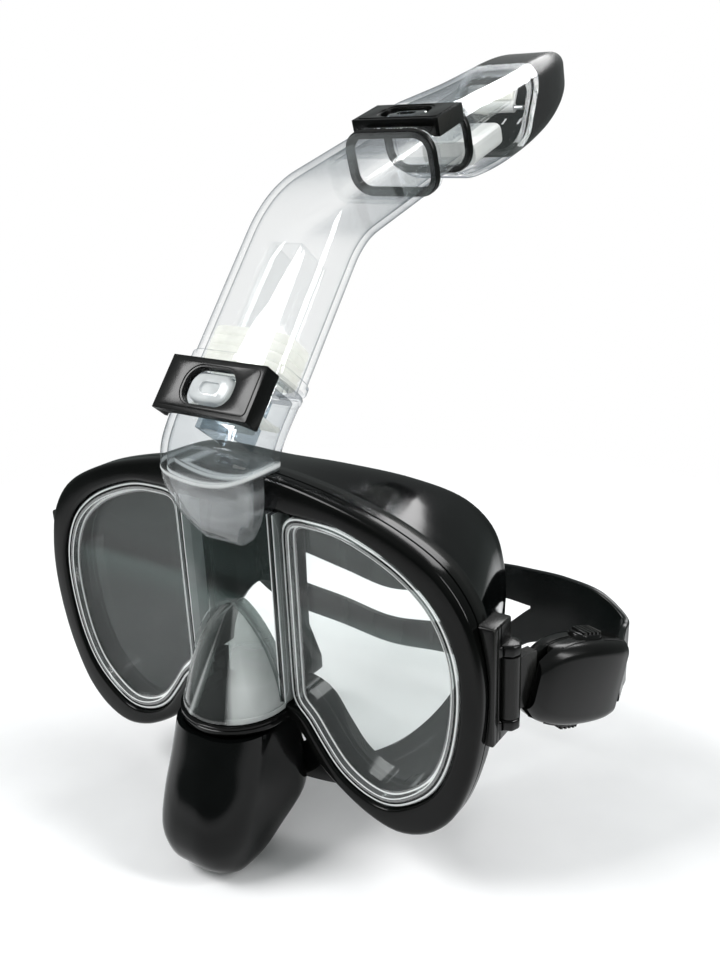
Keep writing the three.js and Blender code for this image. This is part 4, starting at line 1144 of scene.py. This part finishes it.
# ---------------------------------------------------------------- studio
def build_floor(level):
    shape = loft([at_height(round_rect((4, 4, 1)), -0.01), at_height(round_rect((4, 4, 1)), 0)])
    shape.location = (0, 0.6, level)
    material, tree = new_material("floor_paper")
    fine = grain(tree, 40)
    tone = ramp(tree, fine, (0.9, 0.9, 0.905), (0.93, 0.93, 0.935), 0.3, 0.7)
    paper = add(tree, "BsdfDiffuse", {"Color": tone, "Roughness": 0.6})
    place = add(tree, "NewGeometry").outputs["Position"]
    away = add(tree, "VectorMath", {0: place}, operation="LENGTH").outputs["Value"]
    fade = add(tree, "MapRange", {"Value": away, "From Min": 0.2, "From Max": 0.42})
    surface = add(tree, "MixShader", {0: fade.outputs["Result"]})
    tree.links.new(paper.outputs[0], surface.inputs[1])
    tree.links.new(add(tree, "BsdfTransparent").outputs[0], surface.inputs[2])
    add(tree, "OutputMaterial", {"Surface": surface.outputs[0]})
    shape.data.materials.append(material)
    shape.name = "studio_floor"
    shape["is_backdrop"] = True


def build_world():
    world = bpy.data.worlds.new("studio")
    bpy.context.scene.world = world
    world.use_nodes = True
    tree = world.node_tree
    tree.nodes.clear()
    seen = add(tree, "LightPath").outputs["Is Camera Ray"]
    direction = add(tree, "TexCoord").outputs["Generated"]
    height = add(tree, "SeparateXYZ", {0: direction}).outputs["Z"]
    sky = ramp(tree, height, (0.16, 0.18, 0.175), (0.42, 0.44, 0.44), 0.0, 0.9)
    back = add(tree, "Mix", {"Factor": seen}, data_type="RGBA")
    tree.links.new(sky, back.inputs["A"])
    back.inputs["B"].default_value = (1, 1, 1, 1)
    glow = add(tree, "Background", {"Color": back.outputs["Result"], "Strength": 1.0})
    add(tree, "OutputWorld", {"Surface": glow.outputs[0]})


def area_light(name, at, aim, size, power):
    light = bpy.data.lights.new(name, "AREA")
    light.shape = "RECTANGLE"
    light.size, light.size_y = size
    light.energy = power
    lamp = bpy.data.objects.new(name, light)
    lamp.location = at
    lamp.rotation_mode = "QUATERNION"
    lamp.rotation_quaternion = (Vector(aim) - Vector(at)).to_track_quat("-Z", "Y")
    bpy.context.scene.collection.objects.link(lamp)


SENSOR_WIDTH = 36
FOCAL_LENGTH = 36.264375
CAMERA_SHIFT = (-0.0380520833, 0.0023229167)
CAMERA_AT = (0.185684, -0.195353, 0.125374)
CAMERA_RIGHT = Vector((0.8433067, 0.5369073, -0.0237541))
CAMERA_UP = Vector((-0.1656423, 0.3017094, 0.9389005))


def build_camera():
    data = bpy.data.cameras.new("camera")
    data.sensor_width = SENSOR_WIDTH
    data.lens = FOCAL_LENGTH
    data.shift_x, data.shift_y = CAMERA_SHIFT
    data.clip_start, data.clip_end = 0.01, 20
    camera = bpy.data.objects.new("camera", data)
    back = CAMERA_RIGHT.cross(CAMERA_UP)
    turn = Matrix((CAMERA_RIGHT, CAMERA_UP, back)).transposed().to_4x4()
    camera.matrix_world = Matrix.Translation(CAMERA_AT) @ turn
    bpy.context.scene.collection.objects.link(camera)
    bpy.context.scene.camera = camera


bpy.context.scene.view_settings.view_transform = "Standard"
bpy.context.scene.cycles.transparent_max_bounces = 40
build_world()
build_floor(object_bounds()[0].z - 0.0005)
area_light("key", (-0.45, -0.5, 0.75), (0, 0.03, 0), (0.5, 0.35), 9)
area_light("side_strip", (0.75, 0.15, 0.45), (0, 0.05, 0.05), (0.12, 0.6), 4)
area_light("rear_top", (0.1, 0.9, 0.8), (0, 0.05, 0.05), (0.8, 0.3), 8)
build_camera()
